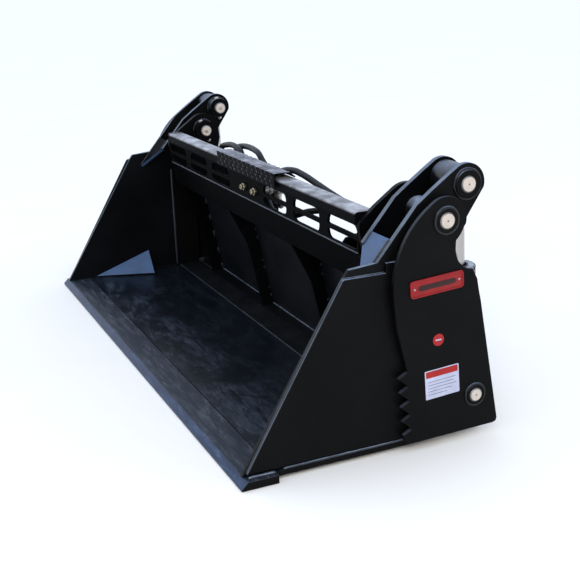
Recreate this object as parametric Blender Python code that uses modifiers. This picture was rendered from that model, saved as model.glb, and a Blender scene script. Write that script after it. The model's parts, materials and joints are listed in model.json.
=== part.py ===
"""Combination (four-in-one) skid steer bucket: a rear frame, a clam that hinges on two pins,
and one hydraulic cylinder on each side that opens it.

Side-view points are (y, z) pairs in metres, measured from the lip of the cutting edge:
y runs back from the lip and z runs up from the ground. x runs across the bucket from its
centre. Left is -X and right is +X, as seen from in front of the lip.
"""
import math

import bmesh
import bpy
from mathutils import Matrix, Vector

# ---------------------------------------------------------------- driving dimensions (metres)
EDGE_WIDTH = 1.830            # cutting edge, end to end
DEPTH = 0.6878                # lip to the rear of the quick-attach hooks
LIP_Y = -DEPTH / 2            # the origin is under the middle of the bucket's depth
GAP = 0.0003                  # between pieces that touch

PIVOT = (0.531, 0.564)        # clam pivot pin, side view
ROD_PIN = (0.605, 0.636)      # upper cylinder pin, side view
BASE_PIN = (0.619, 0.115)     # lower cylinder pin, side view
PIN_RADIUS = 0.020
PIN_BORE = PIN_RADIUS + 0.0005
BASE_PIN_RADIUS = 0.0175
BASE_PIN_BORE = BASE_PIN_RADIUS + 0.0005

# layers across the bucket, each one (inner x, outer x)
EAR_X = (0.730, 0.745)
INNER_ARM_X = (0.775, 0.790)
CYLINDER_X = 0.8325
OUTER_ARM_X = (0.875, 0.890)
CLAM_SIDE_X = (0.875, 0.887)
WEAR_PLATE_X = (0.887 + GAP, 0.897)
FRAME_SIDE_X = (0.908, 0.920)
FRAME_HALF = EAR_X[0] - GAP   # half the width between the ears
BAY_OUTER_X = FRAME_SIDE_X[0] - GAP

FLOOR_TOP = 0.020
EDGE_DEPTH = 0.0935
EDGE_BEVEL = 0.016
FLOOR_THICKNESS = 0.012
CLAM_STRIP_Y = (0.455, 0.5365)
FRAME_STRIP_Y = (0.5375, 0.5840)
CUTTING_STRIP_HALF = 0.848
HEEL_HALF = 0.8745
HEEL_REAR_Y = 0.662
CORNER_WELD_Y = 0.4425        # where the clam's side plate meets the outer arm

CYLINDER_BORE = 0.0400
BARREL_RADIUS = 0.0455
ROD_RADIUS = 0.0255
GLAND_RADIUS = 0.052
GLAND_BORE = ROD_RADIUS + 0.0045
BARREL_TOP = 0.292            # along the cylinder, from the base pin
GLAND_TOP = 0.310
ROD_EYE_RADIUS = 0.042
ROD_LENGTH = 0.350            # rod pin to the piston's lower face
PISTON_RADIUS = 0.0353
PORT_STATIONS = (0.065, 0.105)

RIB_X = 0.250
HOSE_RADIUS = 0.0095
ROUND_STEPS = 26

SIDE_VIEW = (math.pi / 2, 0.0, math.pi / 2)     # a flat outline's x, y become world Y, Z
FRONT_VIEW = (math.pi / 2, 0.0, 0.0)            # a flat outline's x, y become world X, Z

COLORS = {
    "black_paint": ((0.018, 0.018, 0.020), 0.38, 0.0),
    "worn_edge": ((0.060, 0.066, 0.078), 0.42, 0.6),
    "pin_steel": ((0.62, 0.61, 0.58), 0.35, 1.0),
    "chrome": ((0.85, 0.86, 0.88), 0.08, 1.0),
    "brass": ((0.72, 0.60, 0.34), 0.30, 1.0),
    "rubber": ((0.022, 0.022, 0.024), 0.60, 0.0),
    "red_badge": ((0.62, 0.035, 0.03), 0.40, 0.0),
    "bushing_bronze": ((0.42, 0.27, 0.14), 0.40, 1.0),
}


# ---------------------------------------------------------------- scene helpers
def clear_scene():
    for item in list(bpy.data.objects):
        bpy.data.objects.remove(item, do_unlink=True)


def new_collection(name):
    collection = bpy.data.collections.new(name)
    bpy.context.scene.collection.children.link(collection)
    return collection


def material(name):
    found = bpy.data.materials.get(name)
    if found:
        return found
    color, roughness, metallic = COLORS[name]
    made = bpy.data.materials.new(name)
    made.use_nodes = True
    shader = made.node_tree.nodes["Principled BSDF"]
    shader.inputs["Base Color"].default_value = (*color, 1.0)
    shader.inputs["Roughness"].default_value = roughness
    shader.inputs["Metallic"].default_value = metallic
    made.diffuse_color = (*color, 1.0)
    return made


clear_scene()
PARTS = new_collection("skid_steer_bucket")
CUTTERS = new_collection("cutters")


def add_part(name, data, finish):
    part = bpy.data.objects.new(name, data)
    PARTS.objects.link(part)
    data.materials.clear()
    data.materials.append(material(finish))
    return part


def add_cutter(name, data):
    cutter = bpy.data.objects.new(name, data)
    CUTTERS.objects.link(cutter)
    cutter.hide_render = True
    cutter.display_type = "WIRE"
    return cutter


def boolean(part, tool, operation):
    modifier = part.modifiers.new(f"{operation.lower()}_{tool.name}", "BOOLEAN")
    modifier.operation = operation
    modifier.solver = "EXACT"
    modifier.object = tool


def smooth(mesh, angle=35.0):
    mesh.shade_smooth()
    mesh.set_sharp_from_angle(angle=math.radians(angle))


def spot(x, point):
    """World position of a side-view point at a distance x across the bucket."""
    return Vector((x, LIP_Y + point[0], point[1]))


# ---------------------------------------------------------------- outlines
def arc(center, radius, start, end, steps):
    """Points of a circular arc, with angles in degrees from +y towards +z."""
    angles = [math.radians(start + (end - start) * i / steps) for i in range(steps + 1)]
    return [(center[0] + radius * math.cos(a), center[1] + radius * math.sin(a)) for a in angles]


def arc_through(first, middle, last, steps):
    """Points of the arc that starts at first, passes through middle and ends at last."""
    (ax, ay), (bx, by), (cx, cy) = first, middle, last
    d = 2 * (ax * (by - cy) + bx * (cy - ay) + cx * (ay - by))
    a2, b2, c2 = ax * ax + ay * ay, bx * bx + by * by, cx * cx + cy * cy
    ux = (a2 * (by - cy) + b2 * (cy - ay) + c2 * (ay - by)) / d
    uy = (a2 * (cx - bx) + b2 * (ax - cx) + c2 * (bx - ax)) / d
    radius = math.hypot(ax - ux, ay - uy)
    start = math.atan2(ay - uy, ax - ux)
    turn = math.remainder(math.atan2(cy - uy, cx - ux) - start, 2 * math.pi)
    half = math.remainder(math.atan2(by - uy, bx - ux) - start, 2 * math.pi)
    if half * turn < 0:
        turn -= math.copysign(2 * math.pi, turn)
    return [(ux + radius * math.cos(start + turn * i / steps),
             uy + radius * math.sin(start + turn * i / steps)) for i in range(steps + 1)]


def offset_path(path, distance):
    """The open path moved sideways: positive is to the right of its direction of travel."""
    moved = []
    for i, here in enumerate(path):
        before = Vector(path[max(i - 1, 0)])
        after = Vector(path[min(i + 1, len(path) - 1)])
        point = Vector(here)
        run_in = (point - before).normalized() if i else (after - point).normalized()
        run_out = (after - point).normalized() if i < len(path) - 1 else run_in
        normal_in = Vector((run_in.y, -run_in.x))
        normal_out = Vector((run_out.y, -run_out.x))
        mitre = (normal_in + normal_out).normalized()
        moved.append(tuple(point + mitre * (distance / mitre.dot(normal_in))))
    return moved


def sheet(path, near, far):
    """Closed outline of a bent sheet lying between two offsets of one path."""
    return offset_path(path, near) + offset_path(path, far)[::-1]


def rounded(corners, radius, steps=4):
    """A closed outline with every corner rounded; radius is one number or one per corner."""
    radii = radius if isinstance(radius, (list, tuple)) else [radius] * len(corners)
    outline = []
    for i, corner in enumerate(corners):
        here = Vector(corner)
        to_last = (Vector(corners[i - 1]) - here).normalized()
        to_next = (Vector(corners[(i + 1) % len(corners)]) - here).normalized()
        half_angle = to_last.angle(to_next) / 2
        if radii[i] == 0:
            outline.append(tuple(here))
            continue
        center = here + (to_last + to_next).normalized() * (radii[i] / math.sin(half_angle))
        start = here + to_last * (radii[i] / math.tan(half_angle)) - center
        end = here + to_next * (radii[i] / math.tan(half_angle)) - center
        sweep = start.angle_signed(end)
        for step in range(steps + 1):
            turned_by = Matrix.Rotation(-sweep * step / steps, 2)
            outline.append(tuple(center + turned_by @ start))
    return outline


def circle(center, radius, steps=ROUND_STEPS):
    return arc(center, radius, 0.0, 360.0 * (steps - 1) / steps, steps - 1)


# ---------------------------------------------------------------- solids
def mesh_from_curve(curve_object):
    """Closed mesh of a curve object, with its loose caps welded on; the curve is removed."""
    bpy.context.view_layer.update()
    graph = bpy.context.evaluated_depsgraph_get()
    mesh = bpy.data.meshes.new_from_object(curve_object.evaluated_get(graph))
    placed = curve_object.matrix_world.copy()
    bpy.data.objects.remove(curve_object, do_unlink=True)
    shape = bmesh.new()
    shape.from_mesh(mesh)
    bmesh.ops.remove_doubles(shape, verts=shape.verts, dist=0.00001)
    bmesh.ops.recalc_face_normals(shape, faces=shape.faces)
    shape.to_mesh(mesh)
    shape.free()
    return mesh, placed


def flat_solid(name, loops, thickness, location, rotation, finish):
    """A plate: a filled outline, and any holes in it, centred on its own plane."""
    curve = bpy.data.curves.new(name, "CURVE")
    curve.dimensions = "2D"
    curve.fill_mode = "BOTH"
    curve.extrude = thickness / 2
    for loop in loops:
        spline = curve.splines.new("POLY")
        spline.points.add(len(loop) - 1)
        for point, (u, v) in zip(spline.points, loop):
            point.co = (u, v, 0.0, 1.0)
        spline.use_cyclic_u = True
    guide = bpy.data.objects.new(f"{name}_outline", curve)
    CUTTERS.objects.link(guide)
    guide.location = location
    guide.rotation_euler = rotation
    mesh, placed = mesh_from_curve(guide)
    smooth(mesh)
    part = add_part(name, mesh, finish)
    part.matrix_world = placed
    return part


def side_plate(name, loops, x_range, finish="black_paint", side=1):
    """A plate that faces sideways, drawn in the side view, on one side of the bucket."""
    middle = side * (x_range[0] + x_range[1]) / 2
    thickness = x_range[1] - x_range[0]
    return flat_solid(name, loops, thickness, (middle, LIP_Y, 0.0), SIDE_VIEW, finish)


def front_plate(name, loops, y_range, finish="black_paint"):
    """A plate that faces forwards, drawn as (x, z)."""
    middle = LIP_Y + (y_range[0] + y_range[1]) / 2
    return flat_solid(name, loops, y_range[1] - y_range[0], (0.0, middle, 0.0), FRONT_VIEW, finish)


def box_mesh(name, low, high):
    """A box between two corners, in the bucket's x, y from the lip, and z."""
    shape = bmesh.new()
    bmesh.ops.create_cube(shape, size=1.0)
    size = [b - a for a, b in zip(low, high)]
    center = [(a + b) / 2 for a, b in zip(low, high)]
    bmesh.ops.scale(shape, vec=size, verts=shape.verts)
    bmesh.ops.translate(shape, vec=(center[0], center[1] + LIP_Y, center[2]), verts=shape.verts)
    mesh = bpy.data.meshes.new(name)
    shape.to_mesh(mesh)
    shape.free()
    return mesh


def box(name, low, high, finish="black_paint"):
    return add_part(name, box_mesh(name, low, high), finish)


def round_mesh(name, radius, length, steps=ROUND_STEPS):
    shape = bmesh.new()
    bmesh.ops.create_cone(shape, cap_ends=True, segments=steps, radius1=radius,
                          radius2=radius, depth=length)
    mesh = bpy.data.meshes.new(name)
    shape.to_mesh(mesh)
    shape.free()
    smooth(mesh)
    return mesh


def place_along_x(item, x_ends, point):
    item.location = spot((x_ends[0] + x_ends[1]) / 2, point)
    item.rotation_euler = (0.0, math.pi / 2, 0.0)


def boss(part, x_ends, point, radius, side=1):
    """A round boss along x, welded on to a part."""
    ends = (side * x_ends[0], side * x_ends[1])
    tool = add_cutter(f"{part.name}_boss_{len(part.modifiers)}",
                      round_mesh("boss", radius, abs(ends[1] - ends[0])))
    place_along_x(tool, ends, point)
    boolean(part, tool, "UNION")


def bore(part, x_ends, point, radius=PIN_BORE, side=1):
    """A round hole along x through a part."""
    ends = (side * x_ends[0], side * x_ends[1])
    tool = add_cutter(f"{part.name}_bore_{len(part.modifiers)}",
                      round_mesh("bore", radius, abs(ends[1] - ends[0])))
    place_along_x(tool, ends, point)
    boolean(part, tool, "DIFFERENCE")


def turned(name, profile, location, rotation, finish, steps=ROUND_STEPS):
    """A turned piece. The profile is (radius, height) and runs down its outer side."""
    mesh = bpy.data.meshes.new(name)
    closed = profile[0][0] > 0
    edges = [(i, i + 1) for i in range(len(profile) - 1)]
    if closed:
        edges.append((len(profile) - 1, 0))
    mesh.from_pydata([(radius, 0.0, height) for radius, height in profile], edges, [])
    part = add_part(name, mesh, finish)
    screw = part.modifiers.new("turn", "SCREW")
    screw.axis = "Z"
    screw.steps = steps
    screw.render_steps = steps
    screw.use_merge_vertices = True
    screw.merge_threshold = 0.00001
    screw.use_smooth_shade = False
    part.location = location
    part.rotation_euler = rotation
    return part


def ring(name, inner, outer, x_ends, point, finish, side=1):
    """A plain ring or tube along x."""
    low, high = sorted((side * x_ends[0], side * x_ends[1]))
    half = (high - low) / 2
    profile = [(outer, half), (outer, -half), (inner, -half), (inner, half)]
    return turned(name, profile, spot((low + high) / 2, point), (0.0, math.pi / 2, 0.0), finish)


def pin(name, x_ends, point, side=1, radius=PIN_RADIUS, chamfer=0.002):
    low, high = sorted((side * x_ends[0], side * x_ends[1]))
    half = (high - low) / 2
    profile = [(0.0, half), (radius - chamfer, half), (radius, half - chamfer),
               (radius, chamfer - half), (radius - chamfer, -half), (0.0, -half)]
    return turned(name, profile, spot((low + high) / 2, point), (0.0, math.pi / 2, 0.0),
                  "pin_steel")


def smooth_route(points, pieces):
    """Points of a Catmull-Rom curve through the given ones."""
    route = []
    padded = [points[0] * 2 - points[1], *points, points[-1] * 2 - points[-2]]
    for i in range(1, len(padded) - 2):
        a, b, c, d = padded[i - 1:i + 3]
        for step in range(pieces):
            t = step / pieces
            route.append(0.5 * (2 * b + (c - a) * t + (2 * a - 5 * b + 4 * c - d) * t * t
                                + (3 * b - a - 3 * c + d) * t ** 3))
    route.append(points[-1])
    return route


def tube(name, points, radius, finish, pieces=3):
    """A round tube or hose along a smooth route through (x, y, z) points."""
    route = smooth_route([Vector((x, y + LIP_Y, z)) for x, y, z in points], pieces)
    curve = bpy.data.curves.new(name, "CURVE")
    curve.dimensions = "3D"
    curve.bevel_depth = radius
    curve.bevel_resolution = 2
    curve.use_fill_caps = True
    spline = curve.splines.new("POLY")
    spline.points.add(len(route) - 1)
    for point, place in zip(spline.points, route):
        point.co = (*place, 1.0)
    return add_part(name, curve, finish)


# ---------------------------------------------------------------- joint axes
SIDES = (("left", -1), ("right", 1))


def joint_empty(name, x, point):
    empty = bpy.data.objects.new(name, None)
    bpy.context.scene.collection.objects.link(empty)
    empty.empty_display_size = 0.05
    empty.location = spot(x, point)
    return empty


CLAM_AXIS = joint_empty("clam_axis", 0.0, PIVOT)
BASE_AXES = {word: joint_empty(f"barrel_axis_{word}", side * CYLINDER_X, BASE_PIN)
             for word, side in SIDES}
ROD_AXES = {word: joint_empty(f"rod_axis_{word}", side * CYLINDER_X, ROD_PIN)
            for word, side in SIDES}


def hang_on(empty, *parts):
    """Parent parts to an empty on their joint's axis without moving them."""
    bpy.context.view_layer.update()
    for part in parts:
        part.parent = empty
        part.matrix_parent_inverse = empty.matrix_world.inverted()


# ---------------------------------------------------------------- cylinder axis
def cylinder_direction():
    run = Vector((ROD_PIN[0] - BASE_PIN[0], ROD_PIN[1] - BASE_PIN[1]))
    return run.normalized()


CYLINDER_TILT = math.atan2(BASE_PIN[0] - ROD_PIN[0], ROD_PIN[1] - BASE_PIN[1])


def on_cylinder(station, sideways=0.0):
    """Side-view point on the cylinder's axis, and sideways of it towards the rear."""
    along = cylinder_direction()
    across = Vector((along.y, -along.x))
    return tuple(Vector(BASE_PIN) + along * station + across * sideways)


# ---------------------------------------------------------------- rear frame
EAR_FRONT = [(0.540, FLOOR_TOP + GAP), (0.531, 0.074), (0.514, 0.164), (0.496, 0.245),
             (0.432, 0.372)]
MOULDBOARD_FACE = [(0.5835, FLOOR_TOP + GAP), (0.566, 0.100), (0.550, 0.180), (0.537, 0.250),
                   (0.527, 0.300), (0.512, 0.340), (0.486, 0.366), (0.455, 0.378),
                   (0.4310, 0.3825)]
SHEET_THICKNESS = 0.008
BAND_FACE = [(0.4230, 0.3740), (0.4092, 0.4562)]
PANEL_Y = (0.403, 0.411)
PANEL_Z = (0.4573, 0.5300)
RAIL_Y = (0.395, 0.457)
RAIL_Z = (0.5303, 0.5603)
FITTINGS = {-1: -0.007, 1: 0.077}      # x of the hose couplings, a little off centre
FITTING_Z = 0.4936
WINDOW_CENTERS = (0.218, 0.430, 0.642)
WINDOW_HALF = 0.082
UPPER_WINDOW_Z = (0.500, 0.5255)
LOWER_WINDOW_Z = (0.4630, 0.4885)
PAD_Y = 0.6625                # the raised face that the loader's coupler rests on


def band_y(z):
    (y0, z0), (y1, z1) = BAND_FACE
    return y0 + (y1 - y0) * (z - z0) / (z1 - z0)


def window(center, z_range, bottom_radius, top_radius):
    left, right = center - WINDOW_HALF, center + WINDOW_HALF
    corners = [(left, z_range[0]), (right, z_range[0]), (right, z_range[1]), (left, z_range[1])]
    return rounded(corners, [bottom_radius, bottom_radius, top_radius, top_radius])


def build_back_wall():
    """The curved back sheet with the band, guard panel and rail that box in its top."""
    # the sheet lies behind its face, which is to the left of the way up
    side_plate("mouldboard", [sheet(MOULDBOARD_FACE, 0.0, SHEET_THICKNESS)],
               (-FRAME_HALF, FRAME_HALF))
    side_plate("top_band", [sheet(BAND_FACE, 0.0, SHEET_THICKNESS)], (-FRAME_HALF, FRAME_HALF))

    outline = [(-FRAME_HALF, PANEL_Z[0]), (FRAME_HALF, PANEL_Z[0]),
               (FRAME_HALF, PANEL_Z[1]), (-FRAME_HALF, PANEL_Z[1])]
    holes = []
    for center in [side * x for side in (-1, 1) for x in WINDOW_CENTERS]:
        holes.append(window(center, UPPER_WINDOW_Z, 0.004, 0.020))
        holes.append(window(center, LOWER_WINDOW_Z, 0.020, 0.004))
    for side in (-1, 1):
        holes.append(circle((FITTINGS[side], FITTING_Z), 0.0113, 20))
    front_plate("guard_panel", [outline, *holes], PANEL_Y)

    corners = [(RAIL_Y[0], RAIL_Z[0]), (RAIL_Y[1], RAIL_Z[0]),
               (RAIL_Y[1], RAIL_Z[1]), (RAIL_Y[0], RAIL_Z[1])]
    side_plate("top_rail", [rounded(corners, [0.004, 0.004, 0.010, 0.010])],
               (-FRAME_HALF, FRAME_HALF))

    cover = [(0.386, 0.5365), (0.386, 0.5780), (0.432, 0.5780), (0.450, 0.5636)]
    side_plate("rail_cover", [sheet(cover, 0.002, -0.002)], (-0.190, 0.265))


def build_ribs():
    """Tapered stiffeners welded up the front of the mouldboard."""
    back = offset_path(MOULDBOARD_FACE, -0.0005)
    outline = EAR_FRONT + [(0.4325, 0.3775)] + back[-2::-1]
    for word, side in SIDES:
        side_plate(f"back_rib_{word}", [outline], (RIB_X - 0.005, RIB_X + 0.005), side=side)


def build_ears(word, side):
    """The inner ear: it closes the end of the back wall and carries the pins' inner ends."""
    front = EAR_FRONT + [(0.409, 0.464), (0.3975, 0.522), (0.3985, 0.537), (0.442, 0.574)]
    head = arc(PIVOT, 0.060, 124.0, 8.0, 12)
    rear = [(0.5950, 0.5300), (0.5870, 0.5000), (0.6010, 0.4500), (0.6250, 0.4000),
            (0.6600, FLOOR_TOP + GAP)]
    ear = side_plate(f"inner_ear_{word}", [front + head + rear], EAR_X, side=side)
    for point, hole in ((PIVOT, PIN_BORE), (BASE_PIN, BASE_PIN_BORE)):
        boss(ear, (0.702, 0.7375), point, 0.036, side)
        bore(ear, (0.690, 0.760), point, hole, side)
    for station in PORT_STATIONS:
        bore(ear, (0.720, 0.760), on_cylinder(station), 0.0150, side)


def build_frame_side(word, side):
    """The outer side plate, with its saw-toothed front and the notch at the rod."""
    front = arc_through((0.474, 0.591), (0.411, 0.507), (0.392, 0.396), 12) + [(0.401, 0.318)]
    teeth = []
    for i in range(5):
        teeth.append((0.4290 + 0.0033 * i, 0.2090 - 0.0375 * i))
        teeth.append((0.4040 + 0.0035 * i, 0.1950 - 0.0370 * i))
    foot = [(0.428, 0.0205), (0.674, 0.0262), (0.684, 0.0290), (0.687, 0.0380)]
    rear = [(0.631, 0.357), (0.625, 0.383), (0.620, 0.411)]
    notch = arc_through((0.607, 0.437), (0.565, 0.464), (0.558, 0.491), 5)
    throat = arc_through((0.559, 0.513), (0.572, 0.528), (0.580, 0.5435), 4)
    head = arc(PIVOT, 0.0560, -15.0, 128.0, 14)
    outline = front + teeth + foot + rear + notch + throat + head
    plate = side_plate(f"frame_side_{word}", [outline], FRAME_SIDE_X, side=side)
    for point, collar, hole in ((PIVOT, 0.0290, PIN_BORE), (BASE_PIN, 0.0255, BASE_PIN_BORE)):
        boss(plate, (0.914, 0.926), point, collar, side)
        bore(plate, (0.890, 0.940), point, hole, side)
    badge = rounded([(0.437, 0.389), (0.581, 0.399), (0.576, 0.441), (0.432, 0.431)], 0.008)
    side_plate(f"side_badge_{word}", [badge], (0.9203, 0.9243), "red_badge", side)


def build_bottom():
    """The bottom strip that the clam closes against, and the heel plate behind it."""
    box("frame_cutting_strip", (-CUTTING_STRIP_HALF, FRAME_STRIP_Y[0], 0.0),
        (CUTTING_STRIP_HALF, FRAME_STRIP_Y[1], FLOOR_TOP), "worn_edge")
    box("heel_plate", (-HEEL_HALF, FRAME_STRIP_Y[1] + GAP, 0.010),
        (HEEL_HALF, HEEL_REAR_Y, FLOOR_TOP))
    for word, side in SIDES:
        inner, outer = sorted((side * (EAR_X[1] + GAP), side * BAY_OUTER_X))
        box(f"bay_front_plate_{word}", (inner, 0.5455, FLOOR_TOP + GAP), (outer, 0.5535, 0.4300))


def build_quick_attach(word, side):
    """One half of the universal quick-attach: a hooked plate on two webs."""
    inner, outer = 0.350, 0.575
    path = [(0.655, FLOOR_TOP + GAP), (0.655, 0.440), (0.6846, 0.4155)]
    bracket = side_plate(f"quick_attach_{word}", [sheet(path, 0.005, -0.005)], (inner, outer),
                         side=side)
    front = offset_path(MOULDBOARD_FACE, SHEET_THICKNESS + 0.0006)[:6]
    front[0] = (front[0][0], FLOOR_TOP + GAP + 0.004)
    web = front + [(0.560, 0.392), (0.652, 0.412), (0.652, FLOOR_TOP + GAP + 0.004)]
    for x in (inner + 0.006, outer - 0.006):
        tool = side_plate(f"quick_attach_web_{word}_{x:.3f}", [web], (x - 0.005, x + 0.005),
                          side=side)
        PARTS.objects.unlink(tool)
        CUTTERS.objects.link(tool)
        tool.hide_render = True
        tool.display_type = "WIRE"
        boolean(bracket, tool, "UNION")
    low, high = sorted((side * 0.358, side * 0.567))
    pad = add_cutter(f"bearing_pad_{word}", box_mesh("bearing_pad", (low, 0.652, 0.035),
                                                     (high, PAD_Y, 0.385)))
    boolean(bracket, pad, "UNION")
    low, high = sorted((side * 0.4365, side * 0.4885))
    slot = add_cutter(f"lock_slot_{word}", box_mesh("lock_slot", (low, 0.640, 0.062),
                                                    (high, 0.670, 0.090)))
    boolean(bracket, slot, "DIFFERENCE")


def build_fitting(word, side):
    """A bulkhead coupling through the guard panel, with the tee that feeds both cylinders."""
    profile = [(0.0, 0.015), (0.0070, 0.015), (0.0082, 0.0138), (0.0082, 0.0085),
               (0.0125, 0.0078), (0.0125, GAP), (0.0105, GAP), (0.0105, -0.0083),
               (0.0155, -0.0083), (0.0155, -0.018), (0.0095, -0.018), (0.0095, -0.070),
               (0.0, -0.070)]
    x = FITTINGS[side]
    fitting = turned(f"bulkhead_fitting_{word}", profile, spot(x, (PANEL_Y[0], FITTING_Z)),
                     FRONT_VIEW, "brass", 24)
    tee = add_cutter(f"tee_{word}", box_mesh("tee", (x - 0.025, 0.4640, FITTING_Z - 0.013),
                                            (x + 0.025, 0.4880, FITTING_Z + 0.013)))
    boolean(fitting, tee, "UNION")


def build_hoses():
    """Four hoses, from the two tees over the top rail and down to the cylinders' ports."""
    lower = on_cylinder(PORT_STATIONS[0])
    upper = on_cylinder(PORT_STATIONS[1])
    end_x = 0.7747

    def into_port(x_side, port, bend_x):
        y, z = port
        return [(x_side * bend_x, y - 0.003, z + 0.100), (x_side * (bend_x + 0.006), y, z + 0.052),
                (x_side * (bend_x + 0.030), y, z + 0.014), (x_side * 0.735, y, z + 0.001),
                (x_side * end_x, y, z)]

    tube("hose_left_upper",
         [(-0.0335, 0.476, 0.4936), (-0.045, 0.476, 0.4936), (-0.1275, 0.475, 0.4953),
          (-0.1789, 0.474, 0.519), (-0.1987, 0.474, 0.5491), (-0.213, 0.474, 0.565),
          (-0.242, 0.474, 0.572), (-0.292, 0.476, 0.574), (-0.365, 0.482, 0.563),
          (-0.450, 0.498, 0.542), (-0.530, 0.530, 0.500), (-0.600, 0.568, 0.440),
          (-0.650, 0.600, 0.370)]
         + into_port(-1, upper, 0.668), HOSE_RADIUS, "rubber")
    tube("hose_left_lower",
         [(0.077, 0.476, 0.4791), (0.077, 0.476, 0.4686), (0.069, 0.484, 0.4446),
          (0.035, 0.502, 0.4306), (-0.010, 0.510, 0.4446), (-0.041, 0.510, 0.4866),
          (-0.051, 0.498, 0.5286), (-0.0576, 0.484, 0.5595), (-0.0985, 0.485, 0.5786),
          (-0.201, 0.494, 0.579), (-0.301, 0.503, 0.564), (-0.370, 0.520, 0.540),
          (-0.450, 0.545, 0.504), (-0.530, 0.575, 0.458), (-0.595, 0.600, 0.395),
          (-0.630, 0.612, 0.320)]
         + into_port(-1, lower, 0.640), HOSE_RADIUS, "rubber")
    tube("hose_right_upper",
         [(0.077, 0.476, 0.5088), (0.077, 0.476, 0.5186), (0.093, 0.476, 0.5416),
          (0.1318, 0.478, 0.558), (0.183, 0.484, 0.5645), (0.214, 0.488, 0.562),
          (0.256, 0.492, 0.556), (0.312, 0.498, 0.544), (0.380, 0.508, 0.528),
          (0.450, 0.525, 0.508), (0.530, 0.552, 0.476), (0.600, 0.580, 0.425),
          (0.650, 0.603, 0.365)]
         + into_port(1, upper, 0.668), HOSE_RADIUS, "rubber")
    tube("hose_right_lower",
         [(-0.007, 0.476, 0.4791), (-0.007, 0.476, 0.4686), (0.005, 0.474, 0.4406),
          (0.045, 0.474, 0.4166), (0.105, 0.480, 0.4126), (0.1659, 0.490, 0.427),
          (0.240, 0.506, 0.452), (0.340, 0.530, 0.472), (0.430, 0.553, 0.474),
          (0.520, 0.578, 0.458), (0.585, 0.598, 0.430), (0.622, 0.608, 0.375),
          (0.634, 0.612, 0.315)]
         + into_port(1, lower, 0.640), HOSE_RADIUS, "rubber")


def build_frame_pins(word, side):
    pin(f"pivot_pin_{word}", (0.6920, 0.9280), PIVOT, side)
    pin(f"base_pin_{word}", (0.6920, 0.9280), BASE_PIN, side, BASE_PIN_RADIUS)
    ring(f"pivot_spacer_{word}", PIN_BORE, 0.030, (EAR_X[1] + GAP, INNER_ARM_X[0] - GAP), PIVOT,
         "bushing_bronze", side)


# ---------------------------------------------------------------- clam
ARM_FRONT = [(0.366, 0.4783), (0.471, 0.601), (0.510, 0.630), (0.553, 0.660)]
ARM_HEAD = arc(ROD_PIN, 0.049, 118.0, -14.0, 14)
ARM_REAR = [(0.604, 0.552), (0.575, 0.510), (0.548, 0.462), (0.536, 0.420)]


def build_clam_floor():
    half = EDGE_WIDTH / 2
    edge = [(0.0, 0.0), (EDGE_DEPTH, 0.0), (EDGE_DEPTH, FLOOR_TOP), (EDGE_BEVEL, FLOOR_TOP),
            (0.0, 0.0045)]
    side_plate("clam_cutting_edge", [edge], (-half, half), "worn_edge")
    outer = WEAR_PLATE_X[1]
    box("clam_floor", (-outer, EDGE_DEPTH + GAP, FLOOR_TOP - FLOOR_THICKNESS),
        (outer, CLAM_STRIP_Y[0] - GAP, FLOOR_TOP))
    strip_half = OUTER_ARM_X[1] - GAP
    box("clam_closing_strip", (-strip_half, CLAM_STRIP_Y[0], 0.008),
        (strip_half, CLAM_STRIP_Y[1], FLOOR_TOP), "worn_edge")
    hang_on(CLAM_AXIS, *[bpy.data.objects[name] for name in
                         ("clam_cutting_edge", "clam_floor", "clam_closing_strip")])


def build_clam_side(word, side):
    foot = FLOOR_TOP + GAP
    side_outline = [(0.012, foot), (0.285, 0.459), (0.295, 0.472), (0.365, 0.4780),
                    (CORNER_WELD_Y, 0.4780), (CORNER_WELD_Y, foot)]
    plate = side_plate(f"clam_side_{word}", [side_outline], CLAM_SIDE_X, side=side)

    shoulder, heel = 0.386, CORNER_WELD_Y - 0.002
    wear_foot, wear_top = 0.029, 0.4775
    wear_outline = [(0.022, wear_foot), (0.274, 0.451), (0.278, 0.454), (shoulder, 0.4535),
                    (shoulder, wear_top), (heel, wear_top), (heel, wear_foot)]
    wear = side_plate(f"side_wear_plate_{word}", [wear_outline], WEAR_PLATE_X, side=side)

    arm_outline = (ARM_FRONT + ARM_HEAD + ARM_REAR
                   + [(0.536, foot), (CORNER_WELD_Y + GAP, foot), (CORNER_WELD_Y + GAP, 0.4783)])
    outer_arm = side_plate(f"outer_arm_{word}", [arm_outline], OUTER_ARM_X, side=side)
    boss(outer_arm, (0.8825, 0.8985), ROD_PIN, 0.034, side)
    bore(outer_arm, (0.860, 0.910), ROD_PIN, side=side)
    bore(outer_arm, (0.860, 0.910), PIVOT, side=side)

    inner_outline = ([(0.385, 0.5005)] + ARM_FRONT[1:] + ARM_HEAD + ARM_REAR[:2]
                     + [(0.530, 0.480), (0.412, 0.480)])
    inner_arm = side_plate(f"inner_arm_{word}", [inner_outline], INNER_ARM_X, side=side)
    boss(inner_arm, (0.7490, 0.7825), ROD_PIN, 0.034, side)
    bore(inner_arm, (0.740, 0.800), ROD_PIN, side=side)
    bore(inner_arm, (0.760, 0.800), PIVOT, side=side)

    closing = build_closing_plate(word, side)
    gusset = build_corner_gusset(word, side)
    housing = ring(f"pivot_bushing_{word}", PIN_BORE, 0.035,
                   (INNER_ARM_X[1] + GAP, OUTER_ARM_X[0] - GAP), PIVOT, "black_paint", side)
    rod_pin = pin(f"rod_pin_{word}", (0.7335, 0.9005), ROD_PIN, side)
    hang_on(CLAM_AXIS, plate, wear, outer_arm, inner_arm, closing, gusset, housing, rod_pin)


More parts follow.
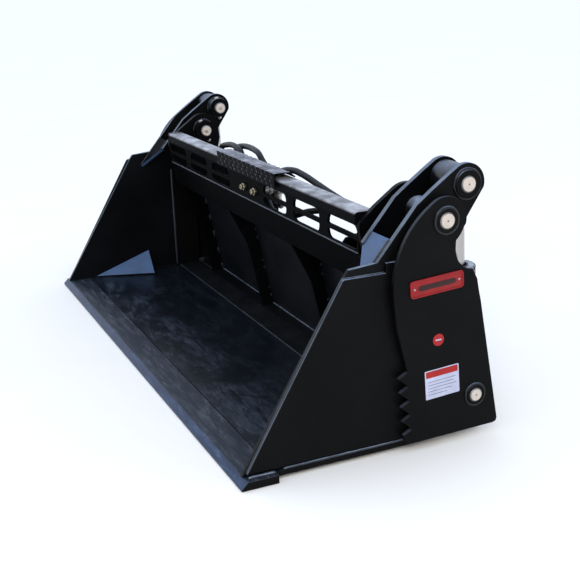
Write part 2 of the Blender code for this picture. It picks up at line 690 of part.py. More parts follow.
def build_closing_plate(word, side):
    """The plate between the arms' front edges; its lower edge slants out to the side plate."""
    (y0, z0), (y1, z1) = ARM_FRONT[:2]
    slope = math.atan2(z1 - z0, y1 - y0)
    thickness = 0.010

    def up_slope(z):
        return (z - z0) / math.sin(slope)

    inner = side * (INNER_ARM_X[1] + GAP)
    outer = side * (OUTER_ARM_X[0] - GAP)
    outline = [(outer, up_slope(0.429)), (outer, up_slope(0.527)), (inner, up_slope(0.527)),
               (inner, up_slope(0.495))]
    back = thickness / 2
    location = (0.0, LIP_Y + y0 + back * math.sin(slope), z0 - back * math.cos(slope))
    return flat_solid(f"arm_closing_plate_{word}", [outline], thickness, location,
                      (slope, 0.0, 0.0), "black_paint")


def build_corner_gusset(word, side):
    """A three-cornered plate across the corner of the floor and the side plate."""
    wall = CLAM_SIDE_X[0] - 0.0006
    floor = FLOOR_TOP + 0.0006
    corners = [Vector((wall, 0.119, floor)), Vector((wall, 0.330, 0.094)),
               Vector((0.802, 0.327, floor))]
    lift = (corners[1] - corners[0]).cross(corners[2] - corners[0]).normalized() * 0.008
    if lift.z < 0:
        lift = -lift
    places = [Vector((side * c.x, c.y + LIP_Y, c.z)) for c in
              corners + [corner + lift for corner in corners]]
    shape = bmesh.new()
    verts = [shape.verts.new(place) for place in places]
    shape.faces.new(verts[:3])
    shape.faces.new(verts[3:])
    for i in range(3):
        j = (i + 1) % 3
        shape.faces.new((verts[i], verts[j], verts[j + 3], verts[i + 3]))
    bmesh.ops.recalc_face_normals(shape, faces=shape.faces)
    mesh = bpy.data.meshes.new(f"corner_gusset_{word}")
    shape.to_mesh(mesh)
    shape.free()
    return add_part(f"corner_gusset_{word}", mesh, "black_paint")


# ---------------------------------------------------------------- hydraulic cylinders
def cylinder_spot(side, station):
    return spot(side * CYLINDER_X, on_cylinder(station))


def build_barrel(word, side):
    """The barrel: a cup-shaped tube on an eye, with two ports that face the ear."""
    along = (CYLINDER_TILT, 0.0, 0.0)
    profile = [(0.0, 0.055), (CYLINDER_BORE, 0.055), (CYLINDER_BORE, BARREL_TOP),
               (BARREL_RADIUS, BARREL_TOP), (BARREL_RADIUS, 0.036), (BARREL_RADIUS - 0.010, 0.024),
               (0.0, 0.024)]
    barrel = turned(f"cylinder_barrel_{word}", profile, cylinder_spot(side, 0.0), along,
                    "black_paint")
    boss(barrel, (CYLINDER_X - 0.036, CYLINDER_X + 0.036), BASE_PIN, 0.040, side)
    for station in PORT_STATIONS:
        boss(barrel, (0.7750, 0.7905), on_cylinder(station), 0.0125, side)
    bore(barrel, (CYLINDER_X - 0.050, CYLINDER_X + 0.050), BASE_PIN, BASE_PIN_BORE, side)

    lip = BARREL_TOP + GAP
    skirt = BARREL_TOP - 0.006
    profile = [(GLAND_RADIUS - 0.002, GLAND_TOP), (GLAND_RADIUS, GLAND_TOP - 0.002),
               (GLAND_RADIUS, skirt), (BARREL_RADIUS + GAP, skirt), (BARREL_RADIUS + GAP, lip),
               (GLAND_BORE, lip), (GLAND_BORE, GLAND_TOP)]
    gland = turned(f"cylinder_gland_{word}", profile, cylinder_spot(side, 0.0), along,
                   "black_paint")
    boolean(gland, gland_notches(word, side, along), "DIFFERENCE")

    back = BARREL_RADIUS + 0.001
    stand_off = BARREL_RADIUS + 0.012
    stations = ((0.247, back), (0.246, stand_off - 0.004), (0.239, stand_off),
                (0.190, stand_off), (0.130, stand_off), (0.113, stand_off),
                (0.106, stand_off - 0.004), (0.105, back))
    route = [(side * CYLINDER_X, *on_cylinder(station, out)) for station, out in stations]
    line = tube(f"transfer_tube_{word}", route, 0.005, "pin_steel", 2)
    hang_on(BASE_AXES[word], barrel, gland, line)


def gland_notches(word, side, along, count=24):
    """Spanner slots around the gland's upper rim."""
    shape = bmesh.new()
    for i in range(count):
        turn = Matrix.Rotation(2 * math.pi * (i + 0.5) / count, 4, "Z")
        shift = Matrix.Translation((GLAND_RADIUS, 0.0, GLAND_TOP))
        size = Matrix.Diagonal((0.009, 0.0065, 0.018, 1.0))
        bmesh.ops.create_cube(shape, size=1.0, matrix=turn @ shift @ size)
    mesh = bpy.data.meshes.new("gland_notches")
    shape.to_mesh(mesh)
    shape.free()
    tool = add_cutter(f"gland_notches_{word}", mesh)
    tool.location = cylinder_spot(side, 0.0)
    tool.rotation_euler = along
    return tool


def build_rod(word, side):
    """The rod with its eye, and the piston on its lower end."""
    along = (CYLINDER_TILT, 0.0, 0.0)
    top = spot(side * CYLINDER_X, ROD_PIN)
    neck = 0.0150
    nose = ROD_LENGTH - 0.030
    profile = [(0.0, -0.020), (ROD_RADIUS, -0.020), (ROD_RADIUS, -nose), (neck, -nose),
               (neck, -ROD_LENGTH), (0.0, -ROD_LENGTH)]
    rod = turned(f"cylinder_rod_{word}", profile, top, along, "chrome")
    boss(rod, (CYLINDER_X - 0.040, CYLINDER_X + 0.040), ROD_PIN, ROD_EYE_RADIUS, side)
    bore(rod, (CYLINDER_X - 0.050, CYLINDER_X + 0.050), ROD_PIN, side=side)
    profile = [(PISTON_RADIUS, -nose - GAP), (PISTON_RADIUS, -ROD_LENGTH),
               (neck + GAP, -ROD_LENGTH), (neck + GAP, -nose - GAP)]
    piston = turned(f"piston_{word}", profile, top, along, "pin_steel")
    hang_on(ROD_AXES[word], rod, piston)


# ---------------------------------------------------------------- assembly
build_back_wall()
build_ribs()
build_bottom()
build_hoses()
build_clam_floor()
for side_word, side_sign in SIDES:
    build_ears(side_word, side_sign)
    build_frame_side(side_word, side_sign)
    build_quick_attach(side_word, side_sign)
    build_fitting(side_word, side_sign)
    build_frame_pins(side_word, side_sign)
    build_clam_side(side_word, side_sign)
    build_barrel(side_word, side_sign)
    build_rod(side_word, side_sign)
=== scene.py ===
"""Looks for the combination skid steer bucket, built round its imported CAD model.

Side-view points are (y, z) pairs in metres from the lip of the cutting edge, as the CAD has
them; at() turns them into the row frame. Left is -X and right is +X.
"""
import json
from math import atan2, cos, pi, radians, sin, sqrt

import bmesh
import bpy
from mathutils import Matrix, Vector, noise

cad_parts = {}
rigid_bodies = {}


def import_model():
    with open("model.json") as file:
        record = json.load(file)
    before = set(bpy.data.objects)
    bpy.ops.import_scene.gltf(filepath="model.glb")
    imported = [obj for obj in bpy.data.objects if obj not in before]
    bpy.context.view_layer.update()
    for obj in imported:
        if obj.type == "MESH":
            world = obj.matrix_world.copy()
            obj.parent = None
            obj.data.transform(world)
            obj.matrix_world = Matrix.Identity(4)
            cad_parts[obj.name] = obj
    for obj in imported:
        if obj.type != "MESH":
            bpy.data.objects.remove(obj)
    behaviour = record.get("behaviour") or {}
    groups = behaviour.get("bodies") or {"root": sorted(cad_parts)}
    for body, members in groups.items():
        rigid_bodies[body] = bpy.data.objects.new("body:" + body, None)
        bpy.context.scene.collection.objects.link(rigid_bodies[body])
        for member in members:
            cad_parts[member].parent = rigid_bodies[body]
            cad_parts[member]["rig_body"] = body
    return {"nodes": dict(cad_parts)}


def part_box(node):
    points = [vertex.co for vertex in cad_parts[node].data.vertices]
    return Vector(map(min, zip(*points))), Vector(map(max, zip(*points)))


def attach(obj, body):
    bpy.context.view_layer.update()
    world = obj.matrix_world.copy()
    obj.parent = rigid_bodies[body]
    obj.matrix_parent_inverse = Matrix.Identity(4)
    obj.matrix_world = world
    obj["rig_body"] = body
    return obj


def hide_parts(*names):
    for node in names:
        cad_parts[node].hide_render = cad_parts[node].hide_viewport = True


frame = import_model()
bpy.context.view_layer.update()
NODES = frame["nodes"]
SIDES = (("left", -1), ("right", 1))
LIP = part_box("clam_cutting_edge")[0].y

PIVOT = (0.531, 0.564)
ROD_PIN = (0.605, 0.636)
BASE_PIN = (0.619, 0.115)
CYLINDER_X = 0.8325
ACROSS, REAR, UP = (Vector(v) for v in ((1, 0, 0), (0, 1, 0), (0, 0, 1)))
PIN_RADIUS = 0.02
BASE_PIN_RADIUS = 0.0175
RIB_X = 0.25
EAR_X = 0.729                # inner ears' faces towards the middle
BAY_EAR_X = 0.7462            # and towards the cylinders
WALL_X = 0.8742               # clam sides' inner faces
WELD_INNER_X = 0.907         # frame sides' inner faces
FACE_X = 0.9203               # frame sides' outer faces
STRIP_TOP = 0.0212            # beads on the frame's strip
FLOOR_TOP = 0.0205            # beads on the clam's floor
BAY_Z = (0.024, 0.428)


def at(x, y, z):
    return Vector((x, LIP + y, z))


# ---------- node materials
class Graph:
    """Small helper for building a material's nodes."""

    def __init__(self, name):
        self.material = bpy.data.materials.new(name)
        self.material.use_nodes = True
        self.tree = self.material.node_tree
        self.shader = self.tree.nodes["Principled BSDF"]
        self.coords = self.add("TexCoord").outputs["Object"]

    def add(self, kind, **settings):
        node = self.tree.nodes.new("ShaderNode" + kind)
        for key, value in settings.items():
            setattr(node, key, value)
        return node

    def link(self, source, target):
        self.tree.links.new(source, target)

    def feed(self, socket, value):
        if isinstance(value, bpy.types.NodeSocket):
            self.link(value, socket)
        else:
            socket.default_value = value

    def put(self, node, **values):
        for key, value in values.items():
            self.feed(node.inputs[key.replace("_", " ")], value)

    def finish(self, color, roughness, normal, specular=0.5, metallic=0.0):
        self.put(self.shader, Base_Color=color, Roughness=roughness, Normal=normal,
                 Specular_IOR_Level=specular, Metallic=metallic)
        return self.material

    def stretched(self, scale):
        node = self.add("Mapping")
        self.put(node, Vector=self.coords, Scale=scale)
        return node.outputs["Vector"]

    def noise(self, scale, detail=5.0, roughness=0.6, vector=None, distortion=0.0):
        node = self.add("TexNoise")
        self.put(node, Vector=vector or self.coords, Scale=scale, Detail=detail,
                 Roughness=roughness, Distortion=distortion)
        return node.outputs["Fac"]

    def ramp(self, source, low, high, from_value=0.0, to_value=1.0):
        node = self.add("MapRange", interpolation_type="SMOOTHSTEP")
        self.put(node, Value=source, From_Min=low, From_Max=high, To_Min=from_value,
                 To_Max=to_value)
        return node.outputs["Result"]

    def math(self, operation, a, b, clamp=False):
        node = self.add("Math", operation=operation, use_clamp=clamp)
        self.feed(node.inputs[0], a)
        self.feed(node.inputs[1], b)
        return node.outputs[0]

    def mix(self, factor, a, b):
        """Blends two colours, each three numbers or a socket."""
        node = self.add("Mix", data_type="RGBA")
        self.feed(node.inputs[0], factor)
        for socket, color in zip((node.inputs[6], node.inputs[7]), (a, b)):
            self.feed(socket, (*color, 1.0) if isinstance(color, tuple) else color)
        return node.outputs[2]

    def bump(self, height, strength, distance, under=None):
        node = self.add("Bump")
        self.put(node, Height=height, Strength=strength, Distance=distance)
        if under is not None:
            self.link(under, node.inputs["Normal"])
        return node.outputs["Normal"]

    def up(self):
        """How far the surface faces upwards, 0 to 1."""
        geometry = self.add("NewGeometry")
        split = self.add("SeparateXYZ")
        self.link(geometry.outputs["Normal"], split.inputs[0])
        return self.ramp(split.outputs["Z"], 0.3, 1.0)

    def depth(self, start, stop, low=0.0, high=1.0):
        """A ramp along Y, between two distances from the lip."""
        split = self.add("SeparateXYZ")
        self.link(self.coords, split.inputs[0])
        return self.ramp(split.outputs["Y"], LIP + start, LIP + stop, low, high)

    def edges(self, width):
        """1 along the sharp edges of the shape and 0 elsewhere."""
        rounded = self.add("Bevel", samples=4)
        rounded.inputs["Radius"].default_value = width
        geometry = self.add("NewGeometry")
        dot = self.add("VectorMath", operation="DOT_PRODUCT")
        self.link(rounded.outputs["Normal"], dot.inputs[0])
        self.link(geometry.outputs["Normal"], dot.inputs[1])
        return self.ramp(dot.outputs["Value"], 0.995, 0.9)


def painted(name, base, rough=0.36, dust_and_sheen=0.1, scuffs=0.2, specular=0.3, wave=0.3,
            dust_and_sheen_color=(0.105, 0.115, 0.13)):
    """Sprayed paint on steel plate: orange peel, wavy plate, long scuffs, and a film on upward
    faces that is real dusting where faint and a painted highlight and sky reflection where strong.
    """
    g = Graph(name)
    cloud = g.noise(4.5, 6.0, 0.62)
    blotch = g.noise(21.0, 5.0, 0.65)
    streak = g.noise(9.0, 6.0, 0.7, g.stretched((9.0, 60.0, 60.0)), 0.3)
    grit = g.noise(260.0, 3.0, 0.6)
    soft = g.ramp(cloud, 0.35, 0.7)
    color = g.mix(soft, tuple(0.75 * c for c in base), tuple(1.3 * c for c in base))
    # film on upward faces: faint amounts are dusting, strong ones a painted highlight and sky
    # reflection
    dust_and_sheen_film = g.math("MULTIPLY", g.up(), g.ramp(blotch, 0.3, 0.72, 0.35, 1.0))
    dust_and_sheen_film = g.math("MULTIPLY", dust_and_sheen_film, dust_and_sheen)
    scuffed = g.math("MULTIPLY", g.ramp(streak, 0.6, 0.72), scuffs * 0.3)
    film = g.math("MAXIMUM", dust_and_sheen_film, scuffed)
    color = g.mix(film, color, dust_and_sheen_color)
    roughness = g.ramp(cloud, 0.2, 0.8, rough - 0.06, rough + 0.08)
    roughness = g.math("ADD", roughness, g.math("MULTIPLY", film, 0.6), True)
    plate = g.bump(g.noise(2.6, 3.0, 0.5), wave, 0.01)
    peel = g.bump(g.noise(420.0, 2.0, 0.5), 0.1, 0.0006, plate)
    finish = g.bump(grit, 0.06, 0.0004, peel)
    return g.finish(color, roughness, finish, specular)


def edge_steel():
    """The ground-engaging edges: thin black paint scuffed through to dark blue-grey steel, with the
    bevel by the lip painted bluer as a painted sky reflection.
    """
    g = Graph("worn_cutting_edge")
    long_scuff = g.noise(11.0, 8.0, 0.7, g.stretched((1.0, 7.0, 7.0)), 0.5)
    fine = g.noise(70.0, 8.0, 0.75, g.stretched((1.0, 5.0, 5.0)))
    bare = g.math("MULTIPLY", g.ramp(long_scuff, 0.42, 0.7), g.ramp(fine, 0.3, 0.62))
    edge = g.math("MULTIPLY", g.edges(0.003), g.ramp(fine, 0.3, 0.55))
    bare = g.math("MAXIMUM", bare, edge)
    bevel = g.depth(0.02, 0.012)
    top = g.mix(bare, (0.014, 0.018, 0.026), (0.085, 0.096, 0.112))
    # bluer colours on the bevel by the lip: a painted sky reflection
    color = g.mix(bevel, top, g.mix(bare, (0.014, 0.026, 0.058), (0.058, 0.092, 0.168)))
    roughness = g.ramp(bare, 0.0, 1.0, 0.38, 0.5)
    rubbed = g.bump(fine, 0.16, 0.001, g.bump(g.noise(3.0, 3.0, 0.5), 0.3, 0.01))
    return g.finish(color, roughness, rubbed, 0.18)


def floor_paint():
    """The clam's floor: black paint with long fine scuffs, the marks stronger and greyer towards
    the lip.
    """
    g = Graph("bucket_floor_paint")
    toward_lip = g.depth(0.34, 0.08, 0.25, 1.0)
    swirl = g.noise(4.0, 8.0, 0.62, g.stretched((1.0, 1.8, 1.0)), 1.2)
    rubbed = g.noise(15.0, 9.0, 0.7, g.stretched((1.0, 4.5, 4.5)), 0.6)
    fine = g.noise(120.0, 5.0, 0.7, g.stretched((1.0, 2.2, 2.2)))
    marks = g.math("MULTIPLY", g.ramp(swirl, 0.38, 0.64), g.ramp(rubbed, 0.3, 0.72))
    marks = g.math("MULTIPLY", marks, toward_lip)
    color = g.mix(marks, (0.0034, 0.0046, 0.0068), (0.04, 0.053, 0.073))
    roughness = g.ramp(marks, 0.0, 0.8, 0.3, 0.5)
    plate = g.bump(g.noise(2.2, 3.0, 0.5), 0.25, 0.01)
    skin = g.bump(g.math("ADD", fine, rubbed), 0.06, 0.0009, plate)
    return g.finish(color, roughness, skin, 0.22)


def metal(name, base, rough, brushed=0.15, dirt=0.3, metallic=1.0, dirt_color=(0.12, 0.1, 0.08)):
    """Bare or plated metal with turning marks, dull patches and a little dirt."""
    g = Graph(name)
    turned = g.noise(30.0, 4.0, 0.6, g.stretched((1.0, 22.0, 22.0)))
    patch = g.noise(38.0, 6.0, 0.65)
    dirty = g.math("MULTIPLY", g.ramp(patch, 0.5, 0.72), dirt)
    color = g.mix(g.ramp(turned, 0.3, 0.7), tuple(0.9 * c for c in base),
                  tuple(min(1.0, 1.06 * c) for c in base))
    color = g.mix(dirty, color, dirt_color)
    roughness = g.math("MULTIPLY_ADD", patch, 0.18)
    roughness.node.inputs[2].default_value = rough - 0.06
    return g.finish(color, roughness, g.bump(turned, brushed, 0.0005), metallic=metallic)


def rubber():
    """A hose's cover with its fine wrapped texture."""
    g = Graph("hose_rubber")
    wrap = g.noise(420.0, 2.0, 0.5)
    cloud = g.noise(30.0, 5.0, 0.6)
    color = g.mix(g.ramp(cloud, 0.35, 0.75), (0.006, 0.006, 0.007), (0.016, 0.016, 0.018))
    roughness = g.ramp(cloud, 0.2, 0.8, 0.38, 0.58)
    return g.finish(color, roughness, g.bump(wrap, 0.22, 0.0006), 0.28)


def enamel(name, base, rough=0.32):
    """Flat colour of a badge or sticker, a little worn."""
    g = Graph(name)
    cloud = g.noise(26.0, 6.0, 0.65)
    worn = g.math("MULTIPLY", g.ramp(g.noise(90.0, 8.0, 0.7), 0.6, 0.7), 0.5)
    color = g.mix(g.ramp(cloud, 0.3, 0.75), tuple(0.86 * c for c in base),
                  tuple(1.06 * c for c in base))
    color = g.mix(worn, color, tuple(0.6 * c + 0.01 for c in base))
    roughness = g.ramp(cloud, 0.2, 0.8, rough - 0.05, rough + 0.12)
    return g.finish(color, roughness, g.bump(g.noise(500.0, 2.0, 0.5), 0.1, 0.0004), 0.25)


def weld_metal():
    """Painted-over weld with paler patches at random, partly oxide and partly a painted highlight
    where the beads catch light.
    """
    g = Graph("weld_bead")
    patch = g.noise(55.0, 6.0, 0.7)
    fine = g.noise(600.0, 3.0, 0.6)
    color = g.mix(g.ramp(patch, 0.45, 0.68), (0.006, 0.006, 0.007), (0.042, 0.041, 0.04))
    roughness = g.ramp(patch, 0.3, 0.8, 0.28, 0.5)
    return g.finish(color, roughness, g.bump(fine, 0.25, 0.0006))


BLACK_PAINTS = (
    # name, base, roughness, dust and painted sheen, scuffs, specular; wave and the dust and sheen
    # colour where they differ
    ("frame", (0.0016, 0.0017, 0.002), 0.44, 0.1, 0.06, 0.035),
    ("front", (0.0022, 0.0023, 0.0028), 0.5, 0.05, 0.03, 0.01),
    ("outer", (0.0026, 0.0026, 0.0028), 0.44, 0.06, 0.08, 0.07, 0.25),
    ("inside", (0.0022, 0.0024, 0.0032), 0.42, 0.03, 0.06, 0.1),
    # back: a lighter copy of the inside paint, painted light on the mouldboard, which lies in shade
    ("back", (0.0058, 0.0062, 0.008), 0.36, 0.06, 0.1, 0.18),
    # welds: glossy, blue-grey on upward faces, a painted highlight
    ("welds", (0.004, 0.0044, 0.0055), 0.2, 0.6, 0.02, 0.32, 0.3, (0.17, 0.21, 0.28)),
    # bushings: light blue-grey on top, a painted highlight
    ("bushings", (0.004, 0.0044, 0.0055), 0.16, 1.0, 0.02, 0.4, 0.3, (0.3, 0.36, 0.45)),
    # rims: a lighter base, blue-grey on upward faces, a painted highlight along edges and beads
    ("rims", (0.016, 0.02, 0.027), 0.32, 0.9, 0.3, 0.35, 0.1, (0.21, 0.26, 0.33)),
    # edges: blue-grey on upward faces, a fainter painted highlight
    ("edges", (0.006, 0.007, 0.009), 0.34, 0.6, 0.2, 0.2, 0.1, (0.07, 0.082, 0.105)),
    # rail: light grey on upward faces, a painted sky reflection on the rail's top
    ("rail", (0.0024, 0.0026, 0.0034), 0.45, 0.95, 0.03, 0.012, 0.3, (0.53, 0.525, 0.54)),
    ("cover", (0.0026, 0.0028, 0.0036), 0.5, 0.95, 0.1, 0.03, 0.3, (0.4, 0.4, 0.43)),
    # corner: a blue base, bluer on upward faces, a painted sky reflection
    ("corner", (0.028, 0.056, 0.115), 0.26, 0.95, 0.05, 0.45, 0.3, (0.066, 0.13, 0.27)),
    ("cylinder", (0.01, 0.01, 0.011), 0.26, 0.1, 0.2, 0.5, 0.05),
)
(PAINT, PAINT_MATT, PAINT_OUTER, PAINT_INNER, PAINT_BACK_PAINTED_LIGHT, PAINT_GLOSS_HIGHLIGHT, PAINT_BUSH_HIGHLIGHT, PAINT_RIM_HIGHLIGHT,
 PAINT_EDGE_HIGHLIGHT, PAINT_RAIL_REFLECTION, PAINT_COVER, PAINT_SKY_REFLECTION, PAINT_CYLINDER) = (
    painted(f"black_paint_{name}", *looks) for name, *looks in BLACK_PAINTS)
# the gland's paint is light grey on upward faces, a painted highlight round its top
PAINT_GLAND_HIGHLIGHT = painted("gland_paint_highlight", (0.014, 0.016, 0.02), rough=0.24, dust_and_sheen=0.95, scuffs=0.2,
                      specular=0.4, dust_and_sheen_color=(0.42, 0.45, 0.5))
EDGE = edge_steel()
FLOOR = floor_paint()
WELD = weld_metal()
ZINC = metal("zinc_plated_steel", (0.46, 0.44, 0.41), 0.42, brushed=0.1, dirt=0.45, metallic=0.7)
PIN_FACE = metal("turned_pin_face", (0.58, 0.505, 0.435), 0.5, brushed=0.05, dirt=0.18,
                 metallic=0.35)
PIN_SIDE = metal("grimy_pin_steel", (0.2, 0.19, 0.18), 0.45, dirt=0.6)
STEEL = metal("machined_steel", (0.4, 0.4, 0.4), 0.34)
CHROME = metal("hard_chrome", (0.45, 0.425, 0.41), 0.2, brushed=0.04, dirt=0.08)
BRASS = metal("yellow_passivated", (0.42, 0.37, 0.26), 0.34, dirt=0.35)
BRONZE = metal("bushing_bronze", (0.2, 0.13, 0.07), 0.42)
RUBBER = rubber()
RED = enamel("badge_red", (0.25, 0.01, 0.011))
RED_DARK = enamel("badge_inlay", (0.03, 0.01, 0.01), 0.4)
WHITE = enamel("label_white", (0.45, 0.47, 0.6), 0.42)
LABEL_RED = enamel("label_red", (0.34, 0.014, 0.013), 0.42)
GREY = enamel("label_grey", (0.16, 0.17, 0.21), 0.45)


# ---------- building pieces
def keep(piece, body, material=None, replaces=()):
    """Rides a piece on its body with its material, and lets it stand for CAD nodes."""
    if material is not None:
        piece.data.materials.clear()
        piece.data.materials.append(material)
    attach(piece, body)
    if replaces:
        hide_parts(*replaces)
    return piece


def place(name, data):
    piece = bpy.data.objects.new(name, data)
    bpy.context.scene.collection.objects.link(piece)
    return piece


def to_object(name, shape, smooth_angle=32.0):
    mesh = bpy.data.meshes.new(name)
    bmesh.ops.recalc_face_normals(shape, faces=shape.faces)
    shape.to_mesh(mesh)
    shape.free()
    mesh.shade_smooth()
    mesh.set_sharp_from_angle(angle=radians(smooth_angle))
    return place(name, mesh)


def round_edges(shape, width, min_angle=28.0):
    edges = [e for e in shape.edges if len(e.link_faces) == 2
             and e.calc_face_angle(0.0) > radians(min_angle)]
    bmesh.ops.bevel(shape, geom=edges, offset=width, segments=2, profile=0.5,
                    affect="EDGES", clamp_overlap=True)


def faces_up(normal):
    return abs(normal.x) < 0.6 and normal.z > 0.12


def faces_crest(normal):
    return abs(normal.x) < 0.6 and normal.z > 0.75


def faces_aside(normal):
    return abs(normal.x) > 0.7


def faces_level(normal):
    return abs(normal.z) < 0.6


def dress(node, material, width=0.0012, rim=None, rim_test=faces_up):
    """The CAD node's own shape with its plate edges eased, which stands for the node.

    A rim material goes on the faces that show a side plate's thickness from above.
    """
    source = NODES[node]
    shape = bmesh.new()
    shape.from_mesh(source.data)
    bmesh.ops.remove_doubles(shape, verts=shape.verts, dist=0.00002)
    bmesh.ops.dissolve_limit(shape, angle_limit=radians(1.0), verts=shape.verts,
                             edges=shape.edges)
    if width:
        round_edges(shape, width)
    piece = to_object(f"{node}_finish", shape)
    weighted = piece.modifiers.new("weighted", "WEIGHTED_NORMAL")
    weighted.keep_sharp = True
    keep(piece, source["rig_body"], material, [node])
    if rim is not None:
        piece.data.materials.append(rim)
        for face in piece.data.polygons:
            face.material_index = 1 if rim_test(face.normal) else 0
    return piece


def facing(center, direction):
    """Placement that takes the origin to center and +Z to a direction."""
    turned = Vector(direction).normalized().to_track_quat("Z", "Y").to_matrix().to_4x4()
    return Matrix.Translation(center) @ turned


def loop(shape, points):
    return [shape.verts.new(point) for point in points]


def wall(shape, a, b):
    """Adds the faces between two loops of as many points."""
    for i in range(len(a)):
        j = (i + 1) % len(a)
        shape.faces.new((a[i], a[j], b[j], b[i]))


def polygon(sides, radius):
    return [(radius * cos(2 * pi * i / sides), radius * sin(2 * pi * i / sides))
            for i in range(sides)]


def lathe(name, profile, center, direction, material, body, steps=64, replaces=()):
    """A turned piece; the profile is (radius, height along direction), from one end on."""
    shape = bmesh.new()
    closed = all(radius > 1e-6 for radius, _ in profile)
    rings = []
    for radius, height in profile:
        if radius <= 1e-6:
            rings.append(loop(shape, [(0, 0, height)]))
        else:
            rings.append(loop(shape, [(x, y, height) for x, y in polygon(steps, radius)]))
    pairs = list(zip(rings, rings[1:]))
    if closed:
        pairs.append((rings[-1], rings[0]))
    for a, b in pairs:
        for i in range(steps):
            j = (i + 1) % steps
            corners = [a[i % len(a)], a[j % len(a)], b[j % len(b)], b[i % len(b)]]
            unique = list(dict.fromkeys(corners))
            if len(unique) > 2:
                shape.faces.new(unique)
    bmesh.ops.transform(shape, matrix=facing(center, direction), verts=shape.verts)
    return keep(to_object(name, shape, 24.0), body, material, replaces)


def prism(name, outline, low, high, placed, material, body, ease=0.0006, replaces=()):
    """A straight-sided block with an outline in its own x, y, between two heights."""
    shape = bmesh.new()
    bottom, top = (loop(shape, [(x, y, z) for x, y in outline]) for z in (low, high))
    shape.faces.new(bottom[::-1])
    shape.faces.new(top)
    wall(shape, bottom, top)
    bmesh.ops.transform(shape, matrix=placed, verts=shape.verts)
    if ease:
        bmesh.ops.recalc_face_normals(shape, faces=shape.faces)
        round_edges(shape, ease, 35.0)
    return keep(to_object(name, shape), body, material, replaces)


def hexagon(name, across, low, high, center, direction, material, body="frame"):
    """A hexagonal nut or head with chamfered corners."""
    return prism(name, polygon(6, across / sqrt(3)), low, high, facing(center, direction),
                 material, body, min(0.0012, across * 0.05))


def resample(points, pitch):
    """Points every pitch along a polyline."""
    points = [Vector(p) for p in points]
    lengths = [0.0]
    for a, b in zip(points, points[1:]):
        lengths.append(lengths[-1] + (b - a).length)
    count = max(2, round(lengths[-1] / pitch))
    made = []
    leg = 0
    for i in range(count + 1):
        want = lengths[-1] * i / count
        while leg < len(points) - 2 and lengths[leg + 1] < want:
            leg += 1
        share = (want - lengths[leg]) / max(lengths[leg + 1] - lengths[leg], 1e-9)
        made.append(points[leg].lerp(points[leg + 1], min(1.0, share)))
    return made


def sweep(shape, points, radii, sides=8, closed=False, squash=None):
    """Adds a tube through points, with a radius at each, to a bmesh."""
    count = len(points)
    rings = []
    normal = None
    for i, point in enumerate(points):
        before = points[i - 1] if i or closed else point
        after = points[(i + 1) % count] if i < count - 1 or closed else point
        tangent = (after - before).normalized()
        if normal is None:
            normal = tangent.orthogonal().normalized()
        normal = (normal - tangent * normal.dot(tangent)).normalized()
        other = tangent.cross(normal)
        ring = []
        for k in range(sides):
            angle = 2 * pi * k / sides
            out = normal * cos(angle) + other * sin(angle)
            if squash is not None:
                out -= squash * out.dot(squash) * 0.45
            ring.append(shape.verts.new(point + out * radii[i]))
        rings.append(ring)
    legs = list(zip(rings, rings[1:]))
    if closed:
        legs.append((rings[-1], rings[0]))
    for a, b in legs:
        wall(shape, a, b)
    if not closed:
        shape.faces.new(rings[0][::-1])
        shape.faces.new(rings[-1])


def tube(name, points, radius, sides, smooth_angle, body, material, node):
    """A round tube along points, which stands for a CAD node."""
    shape = bmesh.new()
    sweep(shape, points, [radius] * len(points), sides)
    keep(to_object(name, shape, smooth_angle), body, material, [node])


def bead(name, runs, radius, body, pitch=0.0045, closed=False, squash=None, material=None):
    """Weld beads: each run is a polyline, laid as overlapping ripples."""
    shape = bmesh.new()
    for run in runs:
        points = resample(run, pitch / 2)
        if closed:
            points = points[:-1]
        radii = []
        for i, point in enumerate(points):
            ripple = 1.0 if i % 2 else 0.84
            wander = 1.0 + 0.14 * noise.noise(point * 90.0)
            end = 1.0 if closed else min(1.0, 0.55 + 0.3 * min(i, len(points) - 1 - i))
            radii.append(radius * ripple * wander * end)
        offsets = (Vector((0, 0, 0)), Vector((9, 0, 0)), Vector((0, 9, 0)))
        drift = [point + Vector([noise.noise(point * 60.0 + offset) for offset in offsets])
                 * radius * 0.16 for point in points]
        sweep(shape, drift, radii, 8, closed, squash)
    return keep(to_object(name, shape, 60.0), body, material or WELD)


def ring_bead(name, x, point, radius, thickness, body, material=None):
    run = [at(x, point[0] + radius * cos(a), point[1] + radius * sin(a))
           for a in [2 * pi * i / 72 for i in range(73)]]
    return bead(name, [run], thickness, body, closed=True, material=material)


def stitches(points, length, gap):
    """Splits a polyline into short runs with gaps between them."""
    fine = resample(points, 0.003)
    travelled = 0.0
    runs, current = [], []
    for a, b in zip(fine, fine[1:]):
        phase = travelled % (length + gap)
        if phase < length:
            if not current:
                current = [a]
            current.append(b)
        elif current:
            runs.append(current)
            current = []
        travelled += (b - a).length
    if current:
        runs.append(current)
    return [run for run in runs if len(run) > 3]


